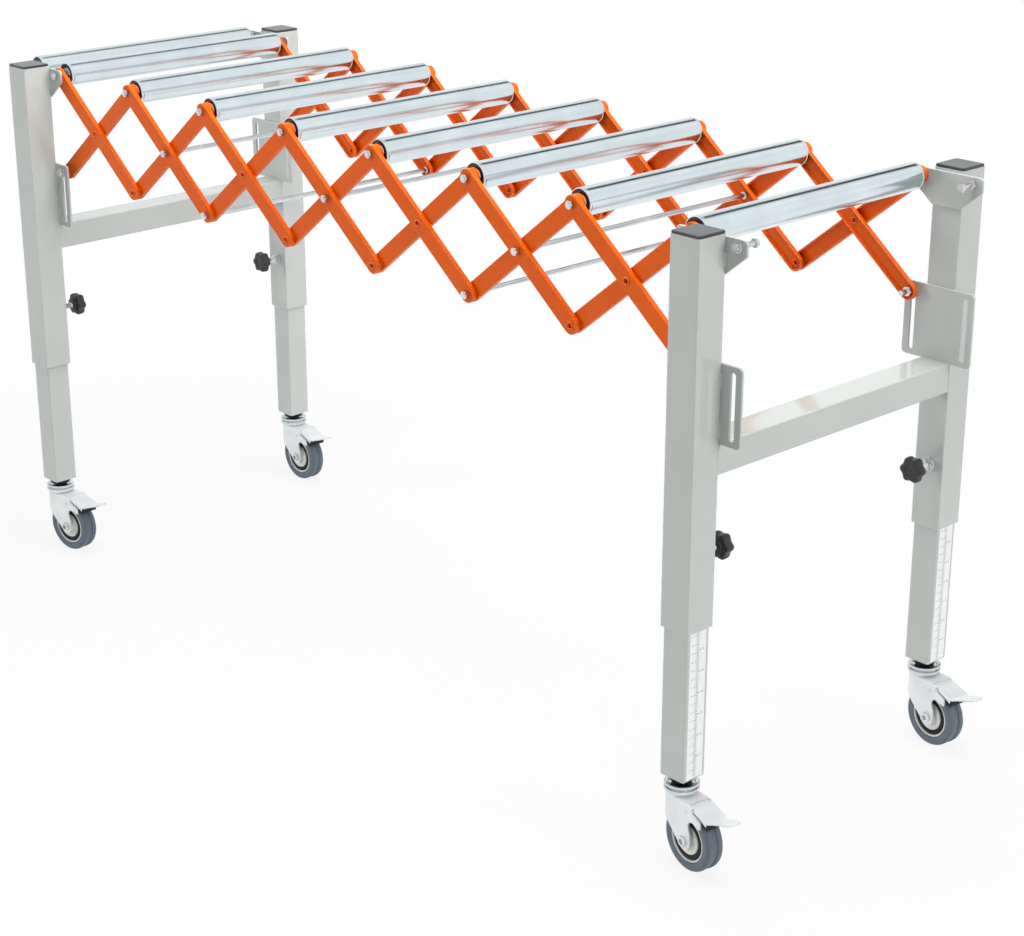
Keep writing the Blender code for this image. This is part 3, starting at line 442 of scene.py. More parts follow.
black_cap = moulded(
    "black_polyethylene_cap", "1E1F21", "2C2D2F", 0.34, 0.5, 1.2 * mm, 0.1 * mm, {"Coat Weight": 0.5}
)
cap_rings = [
    (17.4, 1.0, -10.0), (17.4, 1.0, 0.3), (19.7, 3.0, 0.3), (20.0, 3.2, 0.6), (20.0, 3.2, 2.2),
    (19.7, 3.0, 2.8), (19.1, 2.6, 3.15), (18.3, 2.2, cap_height / mm),
]
for corner, post in corners.items():
    cap = bmesh.new()
    levels = [(rounded_square(half * mm, half * mm, bend * mm), z * mm) for half, bend, z in cap_rings]
    loft(cap, levels, Matrix.Translation((post.x, post.y, post_top)))
    end = corner.split("_")[0]
    make_piece("cap_" + corner, cap, black_cap, "black_plastic", end + "_frame", "tube_cap_" + corner)

# Legs: 35 mm square tube that slides in the post, coated in the same grey as the frames.
# A steel plug closes the foot, where the caster's threaded stem is locked by a flat hexagon nut.
leg_half = 17.5 * mm
leg_wall = 1.8 * mm
leg_corner = 2.4 * mm
leg_plug = 6 * mm
leg_foot = 105 * mm
leg_top = leg_foot + 420 * mm
nut_foot = 98 * mm
stem_radius = 6 * mm
# The stem nut is darkened to near black as painted shade, standing in for the deep shadow under the leg's
# foot.
painted_shade_nut_steel = zinc_plate("dark_nut_steel_as_painted_shade", "2E302F", "454846", 0.4, 0.6, (9, 9, 9))
for corner, post in corners.items():
    leg = bmesh.new()
    bore = rounded_square(leg_half - leg_wall, leg_half - leg_wall, 1 * mm)
    levels = sawn_tube(leg_half, leg_corner, leg_foot, leg_top)
    levels += [(bore, leg_top), (bore, leg_foot + leg_plug)]
    upright = Matrix.Translation((post.x, post.y, 0))
    loft(leg, levels, upright)
    make_piece("leg_tube_" + corner, leg, grey_coat, "grey_powder_coat", "leg_" + corner, "leg_" + corner)
    stem = bmesh.new()
    levels = [
        (circle(9 * mm), 79.9 * mm),
        (circle(9 * mm), 82.3 * mm),
        (circle(stem_radius), 82.4 * mm),
        (circle(stem_radius), nut_foot),
        (hexagon(24 * mm, 12.2 * mm), nut_foot),
        (hexagon(24 * mm), nut_foot + 1 * mm),
        (hexagon(24 * mm), leg_foot - 1 * mm),
        (hexagon(24 * mm, 12.6 * mm), leg_foot - 0.05 * mm),
    ]
    loft(stem, levels, upright)
    make_piece("stem_nut_" + corner, stem, painted_shade_nut_steel, "zinc_caster", "leg_" + corner)

# Height scales: self-adhesive white film on the outer face of the two front legs, so both can be set alike.
# A centimetre rule and an inch rule are printed side by side in black and grey.
film_half = 14.2 * mm
film_thickness = 0.18 * mm
film_foot = leg_foot + 2 * mm
film_length = 360 * mm
ink_height = 0.05 * mm
inch = 25.4 * mm
# Print on film is flat and only slightly clouded, under a satin laminate.
laminate = {"IOR": 1.48}
white_film = moulded(
    "white_polyester_scale_film", "E4E6E6", "F0F1F1", 0.26, 0.38, 6 * mm, 0.008 * mm, laminate, 6
)
scale_ink = moulded("black_scale_ink", "26272A", "3A3B3E", 0.34, 0.46, 6 * mm, 0.008 * mm, laminate, 6)
grey_ink = moulded("grey_scale_ink", "9FA3A5", "ACAFB1", 0.34, 0.46, 6 * mm, 0.008 * mm, laminate, 6)


def ink_bar(bm, place, u, v, width, height):
    """A printed line or tick on the film."""
    shape = moved([(0, -height / 2), (width, -height / 2), (width, height / 2), (0, height / 2)], u, v)
    loft(bm, [(shape, film_thickness - 0.01 * mm), (shape, film_thickness + ink_height)], place)


def ink_numbers(bm, place, u, first, step, count, size):
    """A column of plain numbers, one to each main tick."""
    text = bpy.data.curves.new("numbers", "FONT")
    text.body = "\n".join(str(n) for n in range(count, 0, -1))
    text.size = size
    text.space_line = step / size
    text.align_x = "CENTER"
    text.extrude = ink_height / 2
    text.fill_mode = "BOTH"
    drawn = bpy.data.objects.new("numbers", text)
    mesh = bpy.data.meshes.new_from_object(drawn)
    top = first + (count - 1) * step
    mesh.transform(place @ Matrix.Translation((u, top - size * 0.35, film_thickness + ink_height / 2)))
    digits = bmesh.new()
    digits.from_mesh(mesh)
    bmesh.ops.remove_doubles(digits, verts=digits.verts[:], dist=0.004 * mm)
    bmesh.ops.dissolve_degenerate(digits, edges=digits.edges[:], dist=0.002 * mm)
    digits.to_mesh(mesh)
    digits.free()
    bm.from_mesh(mesh)
    bpy.data.objects.remove(drawn)
    bpy.data.curves.remove(text)
    bpy.data.meshes.remove(mesh)


for corner in ("front_near", "front_far"):
    post = corners[corner]
    face = seat((post.x + leg_half, post.y, film_foot), (0, 1, 0), (0, 0, 1), (1, 0, 0))
    film = bmesh.new()
    sheet = moved(rounded_square(film_half, film_length / 2, 1 * mm), 0, film_length / 2)
    loft(film, [(sheet, -0.02 * mm), (sheet, film_thickness)], face)
    make_piece("scale_film_" + corner, film, white_film, "grey_powder_coat", "leg_" + corner)
    rules = bmesh.new()
    for u in (-film_half + 0.2 * mm, -0.9 * mm, 0.4 * mm, film_half - 1.4 * mm):
        ink_bar(rules, face, u, film_length / 2, 1.1 * mm if abs(u) > mm else 0.5 * mm, film_length - 2 * mm)
    for i in range(1, int(film_length / (2 * mm))):
        ink_bar(rules, face, -0.9 * mm, i * 2 * mm, -2.6 * mm, 0.35 * mm)
    for i in range(1, int(film_length / (inch / 8))):
        ink_bar(rules, face, 0.9 * mm, i * inch / 8, 2.6 * mm, 0.35 * mm)
    make_piece("scale_lines_" + corner, rules, grey_ink, "grey_powder_coat", "leg_" + corner)
    figures = bmesh.new()
    for i in range(1, int(film_length / (10 * mm))):
        ink_bar(figures, face, -0.9 * mm, i * 10 * mm, -4.4 * mm, 0.5 * mm)
    for i in range(1, int(film_length / inch) + 1):
        ink_bar(figures, face, 0.9 * mm, i * inch, 4.4 * mm, 0.6 * mm)
    ink_numbers(figures, face, -8.4 * mm, 10 * mm, 10 * mm, int(film_length / (10 * mm)) - 1, 2.6 * mm)
    ink_numbers(figures, face, 8.6 * mm, inch, inch, int(film_length / inch), 4.2 * mm)
    make_piece("scale_figures_" + corner, figures, scale_ink, "black_plastic", "leg_" + corner)

# Clamp knobs: six-lobed star grips moulded in black nylon round a zinc plated M8 stud.
# Each is screwed through its clamp nut and presses on the leg to hold the height.
knob_radius = 14.7 * mm
knob_wave = 1.3 * mm
grip_boss = [(7.2, 20.0), (8.6, 20.6), (9.0, 23.6)]
grip_lobes = [
    (3.2, 24.0), (1.2, 24.5), (0.2, 26.0), (0.0, 29.0), (0.3, 33.5), (1.3, 35.7), (2.8, 36.7), (4.4, 37.0),
]
grip_dimple = [(7.0, 36.9), (6.4, 36.1)]
stud_foot = -2.2 * mm
stud_top = 20.1 * mm
thread_pitch = 1.25 * mm
thread_depth = 0.55 * mm
black_nylon = moulded("black_nylon_knob", "1B1B1D", "2C2C2E", 0.34, 0.5, 0.9 * mm, 0.12 * mm, {})


def turned(profile, sides=24, flip=1):
    """Rings of a turned piece, from (radius, distance along its axis) in millimetres."""
    return [(circle(radius * mm, sides), flip * along * mm) for radius, along in profile]


def star(shrink):
    """Outline of the grip, drawn in by a distance."""
    points = []
    for i in range(72):
        angle = 2 * math.pi * i / 72
        radius = knob_radius - shrink + knob_wave * math.cos(6 * angle)
        points.append((radius * math.cos(angle), radius * math.sin(angle)))
    return points


def thread(radius, low, high):
    """Levels of a screw thread, drawn as rings one pitch apart."""
    turns = int((high - low) / thread_pitch)
    levels = []
    for i in range(turns):
        levels.append((circle(radius), low + i * thread_pitch))
        levels.append((circle(radius - thread_depth), low + (i + 0.5) * thread_pitch))
    levels.append((circle(radius), high))
    return levels


for corner, post in corners.items():
    sign = 1 if corner.endswith("near") else -1
    inboard = facing_y((post.x, post.y + sign * tube_half, knob_z[corner]), sign)
    grip = bmesh.new()
    lobes = [(star(shrink * mm), along * mm) for shrink, along in grip_lobes]
    levels = turned(grip_boss, 72) + lobes + turned(grip_dimple, 72)
    loft(grip, levels, inboard)
    make_piece("knob_grip_" + corner, grip, black_nylon, "black_plastic", "knob_" + corner, "knob_" + corner)
    stud = bmesh.new()
    loft(stud, thread(4 * mm, stud_foot, stud_top), inboard)
    make_piece("knob_stud_" + corner, stud, bright_bolt, "zinc_caster", "knob_" + corner)

# Caster forks: 2.5 mm steel pressed into a hood that wraps the wheel's front, with a double ball race on top.
# The race is rolled from two rings, and the whole fork is zinc plated to a bright, almost white metal.
trail = 24 * mm
axle_z = 37.5 * mm
fork_sheet = 2.5 * mm
fork_inner = 13 * mm
fork_outer = fork_inner + fork_sheet
crown_top = 85.2 * mm
crown_rear = 30.4 * mm
hood_centre = -3 * mm
pedal_pin = (36 * mm, 78.2 * mm)
# The white passivation on these pressings is chalky, so they mirror only about half as much as bare zinc.
white_zinc = zinc_plate("white_zinc_plated_pressing", "DDE1E3", "F0F2F2", 0.34, 0.46, (40, 40, 40), 0.5)


def carve(solid, operation, tool):
    """Exact boolean of two bmeshes. Both are used up."""
    items = []
    for shape in (solid, tool):
        bmesh.ops.recalc_face_normals(shape, faces=shape.faces[:])
        mesh = bpy.data.meshes.new("carving")
        shape.to_mesh(mesh)
        shape.free()
        items.append(bpy.data.objects.new("carving", mesh))
        bpy.context.scene.collection.objects.link(items[-1])
    cut = items[0].modifiers.new("cut", "BOOLEAN")
    cut.operation = operation
    cut.solver = "EXACT"
    cut.object = items[1]
    carved = bmesh.new()
    carved.from_object(items[0], bpy.context.evaluated_depsgraph_get())
    for item in items:
        mesh = item.data
        bpy.data.objects.remove(item)
        bpy.data.meshes.remove(mesh)
    return carved


def hood(half, front_centre, rear):
    """Plan of the fork: a round front and straight sides, open at the rear."""
    points = [(rear, -half), (rear, half)]
    for i in range(17):
        angle = math.radians(90 + 180 * i / 16)
        points.append((front_centre + half * math.cos(angle), half * math.sin(angle)))
    return points


def arc(centre, radius, start, end, steps):
    """Points along a round corner, angles in degrees."""
    angles = [math.radians(start + (end - start) * i / steps) for i in range(steps + 1)]
    return [(centre[0] + radius * math.cos(a), centre[1] + radius * math.sin(a)) for a in angles]


identity = Matrix.Identity(4)
shell = bmesh.new()
bend = 3.2 * mm
skirt = hood(fork_outer, hood_centre, 50 * mm)
levels = [(skirt, 15 * mm), (skirt, crown_top - bend)]
for step in range(1, 6):
    turn = math.radians(18 * step)
    shrink = bend * (1 - math.cos(turn))
    levels.append((hood(fork_outer - shrink, hood_centre, 50 * mm), crown_top - bend + bend * math.sin(turn)))
loft(shell, levels, identity)
hollow = bmesh.new()
inner = hood(fork_inner, hood_centre, 60 * mm)
ceiling = crown_top - fork_sheet
levels = [(inner, 10 * mm), (inner, ceiling - 1 * mm), (inset(inner, 0.7 * mm), ceiling)]
loft(hollow, levels, identity)
shell = carve(shell, "DIFFERENCE", hollow)
opening = bmesh.new()
gap = [(crown_rear, -fork_inner), (60 * mm, -fork_inner), (60 * mm, fork_inner), (crown_rear, fork_inner)]
loft(opening, [(gap, 74 * mm), (gap, 90 * mm)], identity)
shell = carve(shell, "DIFFERENCE", opening)
profile = [
    (-20 * mm, 90 * mm),
    (-20 * mm, 71 * mm),
    *arc((-10.5 * mm, 67 * mm), 8 * mm, 180, 212, 3),
    *arc((trail, axle_z), 10 * mm, 212, 360, 12),
    (trail + 10 * mm, axle_z + 10 * mm),
    *arc((37.5 * mm, 58.5 * mm), 7 * mm, 190, 60, 8),
    *arc((50 * mm, 67 * mm), 4.8 * mm, 250, 270, 2),
    *arc((55.6 * mm, 64.2 * mm), 2.0 * mm, 270, 405, 5),
    (50.7 * mm, 70.3 * mm),
    (44.4 * mm, 74.2 * mm),
    *arc((38.4 * mm, 78.2 * mm), 1.2 * mm, 270, 180, 4),
    (36.8 * mm, 81.4 * mm),
    (33.5 * mm, 83.2 * mm),
    (crown_rear, 83.8 * mm),
    (20 * mm, 85.5 * mm),
    (14 * mm, 90 * mm),
]
flat = facing_y((0, 0, 0))
side_cut = bmesh.new()
loft(side_cut, [(profile, -30 * mm), (profile, 30 * mm)], flat)
fork_shell = carve(shell, "INTERSECT", side_cut)
fork_mesh = bpy.data.meshes.new("fork_shell")
fork_shell.to_mesh(fork_mesh)
fork_shell.free()
race_rings = [
    (6.3, 95.0), (14.2, 95.2), (15.6, 97.5), (17.8, 97.7), (19.4, 97.2), (20.0, 96.2), (20.0, 95.2),
    (19.4, 94.3), (16.2, 93.8), (15.6, 92.9), (16.2, 92.0), (19.4, 91.6), (20.0, 90.6), (20.0, 88.9),
    (19.2, 87.6), (17.2, 86.7), (16.6, 85.0), (6.3, 85.0),
]
swivels = {}
for corner, post in corners.items():
    wheel_joint = next(j for j in frame["joints"] if j["name"] == f"wheel_{corner}_spin")
    hub = Vector(wheel_joint["pos_m"])
    trailing = Vector((hub.x - post.x, hub.y - post.y, 0)).normalized()
    across = Vector((0, 0, 1)).cross(trailing)
    swivels[corner] = seat((post.x, post.y, 0), trailing, across, (0, 0, 1))
for corner, stand in swivels.items():
    fork = bmesh.new()
    fork.from_mesh(fork_mesh)
    bmesh.ops.transform(fork, matrix=stand, verts=fork.verts[:])
    make_piece("fork_" + corner, fork, white_zinc, "zinc_caster", "fork_" + corner, "caster_fork_" + corner)
    race = bmesh.new()
    loft(race, turned(race_rings, 48), stand, closed=True)
    make_piece("swivel_race_" + corner, race, bright_bolt, "zinc_caster", "fork_" + corner)
    bolt = bmesh.new()
    lying = stand @ facing_y((trail, 0, axle_z))
    half = [
        (circle(4 * mm), 15.5 * mm), *bolt_head(11 * mm, 5 * mm, 15.6 * mm, 19.4 * mm, 0.7 * mm),
        (circle(3.1 * mm), 19.2 * mm), (circle(2.9 * mm), 12.5 * mm),
    ]
    loft(bolt, [(ring, -y) for ring, y in half[::-1]] + half, lying)
    for sign in (-1, 1):
        rivet = [(2.6, 15.4), (2.6, 15.9), (2.1, 16.3), (1.2, 16.4)]
        for u, z in (pedal_pin, (26.6 * mm, 73.9 * mm)):
            loft(bolt, turned(rivet, flip=sign), stand @ facing_y((u, 0, z)))
    make_piece("axle_bolt_" + corner, bolt, bright_bolt, "zinc_caster", "fork_" + corner)

# Wheels: a blue-grey rubber tyre, moulded with two ribs round its tread, on a light grey nylon hub.
# A black thread guard closes each side of the hub round its plain bearing.
tyre_radius = 37.5 * mm
tyre_side = [
    (26.6, 9.2), (27.2, 10.2), (29.5, 10.9), (33.2, 11.4), (35.2, 11.0), (36.6, 9.9), (37.3, 8.2),
    (tyre_radius / mm, 6.2), (37.4, 4.0), (36.9, 3.2), (36.0, 2.8),
]
hub_side = [
    (4.3, 12.2), (9.4, 12.2), (10.0, 11.7), (10.6, 10.9), (17.0, 10.4), (17.8, 9.6), (17.9, 7.6),
    (24.1, 7.6), (24.3, 9.6), (25.0, 10.4), (26.2, 10.4), (26.8, 9.4),
]
guard_side = [(18.0, 7.4), (18.0, 8.6), (19.0, 9.5), (21.0, 9.9), (23.0, 9.5), (24.0, 8.6), (24.0, 7.4)]
tyre_rubber = moulded(
    "blue_grey_rubber_tyre", "4C5864", "65727E", 0.4, 0.62, 0.8 * mm, 0.08 * mm, {"IOR": 1.52}, 16
)
black_rubber = moulded(
    "black_rubber", "121213", "1E1E20", 0.5, 0.7, 1 * mm, 0.15 * mm, {"Specular IOR Level": 0.25}
)
grey_nylon = moulded("pale_grey_nylon_hub", "CFD2CC", "DEE0DA", 0.35, 0.5, 1 * mm, 0.1 * mm, {})
for corner, stand in swivels.items():
    lying = stand @ facing_y((trail, 0, axle_z))
    tyre = bmesh.new()
    loft(tyre, turned(tyre_side, 72) + turned(tyre_side[::-1], 72, -1), lying, closed=True)
    make_piece("tyre_" + corner, tyre, tyre_rubber, "grey_tyre", "wheel_" + corner, "wheel_" + corner)
    hub = bmesh.new()
    loft(hub, turned(hub_side, 72) + turned(hub_side[::-1], 72, -1), lying, closed=True)
    make_piece("hub_" + corner, hub, grey_nylon, "zinc_caster", "wheel_" + corner)
    guard = bmesh.new()
    for sign in (-1, 1):
        loft(guard, turned(guard_side, 72, sign), lying, closed=True)
    make_piece("thread_guard_" + corner, guard, black_rubber, "black_plastic", "wheel_" + corner)

# Brake pedals: a 2.2 mm pressed steel lever, zinc plated like the fork, with cheeks that stiffen its sides.
# Pressed down by foot, it turns on a riveted pin and drives a black rubber block on to the tyre.
pedal_travel = math.radians(14)
lever_sheet = 2.2
lever_edge = 0.6
cheek_from_middle = 10.6 * mm
lever_path = [
    (30.8, 83.5, 12.4), (31.4, 83.6, 12.6), (34.5, 83.0, 12.7), (37.9, 81.9, 12.8), (38.4, 81.7, 14.6),
    (39.5, 81.3, 15.2), (45.0, 79.3, 15.3), (52.0, 77.0, 15.3), (57.0, 75.5, 15.2), (59.5, 75.0, 14.8),
    (61.5, 75.0, 13.6), (63.5, 75.4, 11.6), (66.0, 76.2, 10.3), (75.0, 79.2, 9.7), (84.0, 82.3, 9.4),
    (89.0, 84.0, 8.6), (91.6, 84.9, 7.0), (92.8, 85.2, 5.0),
]
released = Matrix.Rotation(pedal_travel, 2)
block_foot = []
for point in arc((trail, axle_z), tyre_radius + 0.4 * mm, 53, 35, 5):
    block_foot.append(tuple(Vector(pedal_pin) + released @ (Vector(point) - Vector(pedal_pin))))
lengthways = seat((0, 0, 0), (0, 1, 0), (0, 0, 1), (1, 0, 0))
lever_levels = []
for u, top, half in lever_path:
    flat_half = half - lever_edge
    low_edge = lever_edge - lever_sheet
    section = [
        (-half, low_edge), (-half, -lever_edge), (-flat_half, 0), (flat_half, 0), (half, -lever_edge),
        (half, low_edge), (flat_half, -lever_sheet), (-flat_half, -lever_sheet),
    ]
    lever_levels.append(([(v * mm, (top + w) * mm) for v, w in section], u * mm))
for corner, stand in swivels.items():
    lever = bmesh.new()
    loft(lever, lever_levels, stand @ lengthways)
    cheek = [
        (33.0 * mm, 80.6 * mm), *arc(pedal_pin, 3.2 * mm, 180, 315, 5), (47.5 * mm, 72.2 * mm),
        (57.6 * mm, 67.4 * mm), (58.8 * mm, 74.0 * mm), (50.0 * mm, 76.4 * mm), (40.0 * mm, 79.6 * mm),
    ]
    for sign in (-1, 1):
        upright = stand @ facing_y((0, sign * cheek_from_middle, 0), sign)
        loft(lever, plate_levels(cheek if sign < 0 else cheek[::-1], 2 * mm), upright)
    boss = stand @ facing_y((pedal_pin[0], 0, pedal_pin[1]))
    loft(lever, turned([(2.0, -12.4), (3.0, -12.4), (3.0, 12.4), (2.0, 12.4)]), boss, closed=True)
    make_piece(
        "pedal_lever_" + corner, lever, white_zinc, "zinc_caster", "pedal_" + corner, "brake_pedal_" + corner
    )
    block = bmesh.new()
    outline = [*block_foot, (60.4 * mm, 69.5 * mm), (60.6 * mm, 73.2 * mm), (50.4 * mm, 76.0 * mm)][::-1]
    levels = [
        (inset(outline, 0.5 * mm), -12.5 * mm), (outline, -12.0 * mm), (outline, 12.0 * mm),
        (inset(outline, 0.5 * mm), 12.5 * mm),
    ]
    loft(block, levels, stand @ flat)
    make_piece("brake_block_" + corner, block, black_rubber, "black_plastic", "pedal_" + corner)

# Scissor links: 21 mm strips of 2 mm steel, pressed into shallow trays with a tight fold and round ends.
# They are riveted in pairs at the plain crossings and lower pivots and powder coated orange together.
cells = 7
link_pitch = 168 * mm
link_rise = 135 * mm
link_length = math.hypot(link_pitch, link_rise)
outer_link = 194.2 * mm
inner_link = 187.9 * mm
axle_hole = 4.2 * mm
rivet_hole = 3.1 * mm
rivet_length = 8.35 * mm
tied_cells = (1, 3, 5)
rod_cells = (1, 4)
first_x = frame["joints"][0]["pos_m"][0]
lower_z = pivot_z - link_rise
# F8B080 is a painted highlight along the links' sharp edges and folds.
orange_coat = powder_coat("orange_powder_coat_on_steel", "DD5600", "E86206", "F8B080", {"Coat Weight": 0.2})


def obround(length, radius, steps=12):
    """A link's outline, with round ends about its end pivots at u = 0 and u = length."""
    return arc((length, 0), radius, -90, 90, steps) + arc((0, 0), radius, 90, 270, steps)


def link_tray(bm, place, radii):
    """One pressed tray, open inboard, with holes of those radii at its first, middle and last pivot."""
    wall = [
        (9.7, 0.0), (10.1, 0.11), (10.39, 0.4), (10.5, 0.8), (10.5, 5.6), (10.3, 5.95), (9.9, 6.0),
        (8.9, 6.0), (8.5, 5.6), (8.5, 2.7), (8.3, 2.2), (7.8, 2.0),
    ]
    levels = [(obround(link_length, r * mm), d * mm) for r, d in wall]
    holes = [moved(circle(r, 16), i * link_length / 2, 0) for i, r in enumerate(radii)]
    loft(bm, levels, place, holes=holes)


def hollow_rivet(bm, place, u, length):
    """A tube rivet with a rolled flange on each end."""
    at = place @ Matrix.Translation((u, 0, 0))
    half = [(2.75, 0.0), (2.9, -1.0), (3.4, -1.5), (4.0, -1.4), (4.5, -0.8), (4.6, 0.02), (2.95, 0.02)]
    head = turned(half, 20)
    loft(bm, head + [(ring, length - depth) for ring, depth in head[::-1]], at, closed=True)


for cell in range(cells):
    for side, sign in (("near", -1), ("far", 1)):
        for kind, slope in (("falling", -1), ("rising", 1)):
            outer = (kind == "falling") == (side == "near")
            y = middle_y + sign * (outer_link if outer else inner_link)
            start = (first_x + cell * link_pitch, y, pivot_z if kind == "falling" else lower_z)
            along = (link_pitch, 0, slope * link_rise)
            above = (-slope * link_rise, 0, link_pitch)
            place = seat(start, along, above, (0, -sign, 0))
            radii = (axle_hole, rivet_hole, rivet_hole)
            tray = bmesh.new()
            link_tray(tray, place, radii if kind == "falling" else radii[::-1])
            name = f"{kind}_link_{side}_{cell}"
            nodes = [name]
            if kind == "rising" and cell in tied_cells:
                nodes = [f"rising_links_tied_{cell}"] if side == "near" else []
            make_piece("tray_" + name, tray, orange_coat, "orange_powder_coat", f"{kind}_{cell}", *nodes)
            if outer:
                outer_seat, outer_body = place, f"{kind}_{cell}"
        riveted = [] if cell in tied_cells else [link_length / 2]
        if side == "near" and cell not in rod_cells and cell < cells - 1:
            riveted.append(link_length)
        if side == "far" and cell - 1 not in rod_cells and cell > 0:
            riveted.append(0)
        if riveted:
            rivets = bmesh.new()
            for u in riveted:
                hollow_rivet(rivets, outer_seat, u, rivet_length)
            make_piece(f"rivets_{side}_{cell}", rivets, orange_coat, "orange_powder_coat", outer_body)

# Roller axles and tie rods: zinc plated M8 bolts through the upper pivots, with spacers beside the rollers,
# and thin rods through three crossings and two lower pivots, all locked by hexagon nuts at both ends.
# Short bolts at the lowest link ends run in the frames' slots.
plate_head = 197.8 * mm
roller_end = 180.9 * mm
seat_gap = 0.3 * mm
roller_x = [first_x - 2 * pivot_from_post] + [first_x + n * link_pitch for n in range(cells + 1)]


def cross_bolt(bm, x, z, collar, flats, head, height, shank):
    """A bolt across the conveyor, alike at both ends: a collar (radius, start, end), a hexagon and a tip."""
    radius, start, end = collar
    top = head + height
    half = [
        (circle(shank), start),
        (circle(radius), start),
        (circle(radius), end),
        (circle(shank), end),
        (circle(shank), head),
        *bolt_head(flats, flats * 0.49, head, top),
        (circle(shank - 0.2 * mm), top),
        (circle(shank - 0.2 * mm), top + 1.0 * mm),
        (circle(shank - 0.8 * mm), top + 1.6 * mm),
    ]
    loft(bm, [(ring, -y) for ring, y in half[::-1]] + half, facing_y((x, middle_y, z)))


spacer_end = inner_link - 2.3 * mm
for n, x in enumerate(roller_x):
    axle = bmesh.new()
    head = plate_head if n in (0, 1, 8) else outer_link + seat_gap
    spacer = (6.5 * mm, roller_end + seat_gap, plate_face - seat_gap if n == 0 else spacer_end)
    cross_bolt(axle, x, pivot_z, spacer, 9.4 * mm, head, 4.2 * mm, 3.4 * mm)
    body = "rear_frame" if n == 0 else "rising_6" if n == 8 else f"falling_{n - 1}"
    make_piece(f"axle_{n}", axle, bright_bolt, "zinc_roller", body)
rod_nut = outer_link + seat_gap
inner_nut = (4.6 * mm, inner_link - 5.5 * mm, inner_link - 2.3 * mm)
for cell in tied_cells:
    rod = bmesh.new()
    x = first_x + (cell + 0.5) * link_pitch
    cross_bolt(rod, x, pivot_z - link_rise / 2, inner_nut, 9 * mm, rod_nut, 5.6 * mm, 3 * mm)
    make_piece(f"crossing_rod_{cell}", rod, bright_bolt, "zinc_roller", f"rising_{cell}")
for cell in rod_cells:
    rod = bmesh.new()
    x = first_x + (cell + 1) * link_pitch
    cross_bolt(rod, x, lower_z, inner_nut, 9 * mm, rod_nut, 5.6 * mm, 3 * mm)
    make_piece(f"lower_rod_{cell}", rod, bright_bolt, "zinc_roller", f"falling_{cell}")
for cell, x, link in ((0, first_x, "rising"), (cells - 1, first_x + cells * link_pitch, "falling")):
    for side, sign in (("near", -1), ("far", 1)):
        guide = bmesh.new()
        outward = facing_y((x, middle_y, lower_z), sign)
        layer = inner_link if (link == "rising") == (side == "near") else outer_link
        levels = [
            (circle(2.6 * mm), layer - 18 * mm),
            (circle(3.2 * mm), layer - 17.4 * mm),
            (circle(3.2 * mm), layer - 7 * mm),
            *bolt_head(11 * mm, 5.4 * mm, layer - 2 * mm, layer - 7 * mm, 0.7 * mm)[::-1],
            (circle(3.2 * mm), layer - 1.9 * mm),
            (circle(3.2 * mm), plate_head),
            (circle(6.8 * mm), plate_head),
            (circle(6.8 * mm), plate_head + 0.9 * mm),
            *bolt_head(11 * mm, 5.4 * mm, plate_head + 0.9 * mm, plate_head + 5 * mm),
        ]
        loft(guide, levels, outward)
        make_piece(f"slot_guide_{cell}_{side}", guide, bright_bolt, "zinc_roller", f"{link}_{cell}")

# Rollers: 32 mm steel tube, rolled and welded, bright zinc plated, with the ends turned in over the bearings.
# Each bearing is a black nylon cage with a steel inner ring that sits on the axle.
roller_rim = [
    (14.3, 168.0), (14.3, 179.8), (14.5, 180.6), (14.9, 180.9), (15.4, 180.8), (15.8, 180.3),
    (16.0, 179.5), (16.0, 178.6), (15.4, 178.1), (15.4, 177.1), (16.0, 176.6),
]
cage_side = [
    (14.2, 168.5), (14.2, 179.6), (13.8, 180.1), (10.6, 180.1), (9.6, 179.6), (9.1, 179.0), (9.1, 168.5),
]
ring_side = [(9.0, 169.0), (9.0, 180.0), (8.5, 180.6), (5.4, 180.6), (4.4, 179.8), (4.4, 169.0)]
roller_zinc = zinc_plate("bright_zinc_plated_roller_tube", "D2DEE4", "E5EEF1", 0.17, 0.24, (5, 260, 5))
for n, x in enumerate(roller_x):
    along = facing_y((x, middle_y, pivot_z))
    tube = bmesh.new()
    loft(tube, turned(roller_rim, 64) + turned(roller_rim[::-1], 64, -1), along, closed=True)
    make_piece(f"roller_tube_{n}", tube, roller_zinc, "zinc_roller", f"roller_{n}", f"roller_{n}")
    cage = bmesh.new()
    ring = bmesh.new()
    for sign in (-1, 1):
        loft(cage, turned(cage_side, 48, sign), along, closed=True)
        loft(ring, turned(ring_side, 48, sign), along, closed=True)
    make_piece(f"bearing_cage_{n}", cage, black_nylon, "black_plastic", f"roller_{n}")
    make_piece(f"bearing_ring_{n}", ring, bright_bolt, "zinc_roller", f"roller_{n}")

# Coupling bolts: two spare M8 bolts kept in the front frame's outer ears, to hook on a second conveyor.
# Each has a nut on its tip, a lock nut inside the ear, and a washer and a socketed head outside.
coupling_tip = plate_face - 25 * mm
couplers = bmesh.new()
for sign in (-1, 1):
    x = corners["front_near"].x + pivot_from_post
    outward = facing_y((x, middle_y, pivot_z), sign)
    levels = [
        *bolt_head(9 * mm, 4.4 * mm, coupling_tip + 4 * mm, coupling_tip)[::-1],
        (circle(3 * mm), coupling_tip + 4 * mm),
        (circle(3 * mm), plate_face - 5 * mm),
        *bolt_head(9 * mm, 4.4 * mm, plate_face, plate_face - 5 * mm)[::-1],
        (circle(3 * mm), plate_face),
        (circle(3 * mm), plate_back),
        (circle(6.4 * mm), plate_back),
        (circle(6.4 * mm), plate_back + 1 * mm),
        *bolt_head(9 * mm, 4.4 * mm, plate_back + 1 * mm, plate_back + 4.8 * mm),
        (circle(2.9 * mm), plate_back + 4.8 * mm),
        (circle(2.7 * mm), plate_back + 2.2 * mm),
    ]
    loft(couplers, levels, outward)
make_piece("coupling_bolts", couplers, bright_bolt, "zinc_roller", "front_frame")

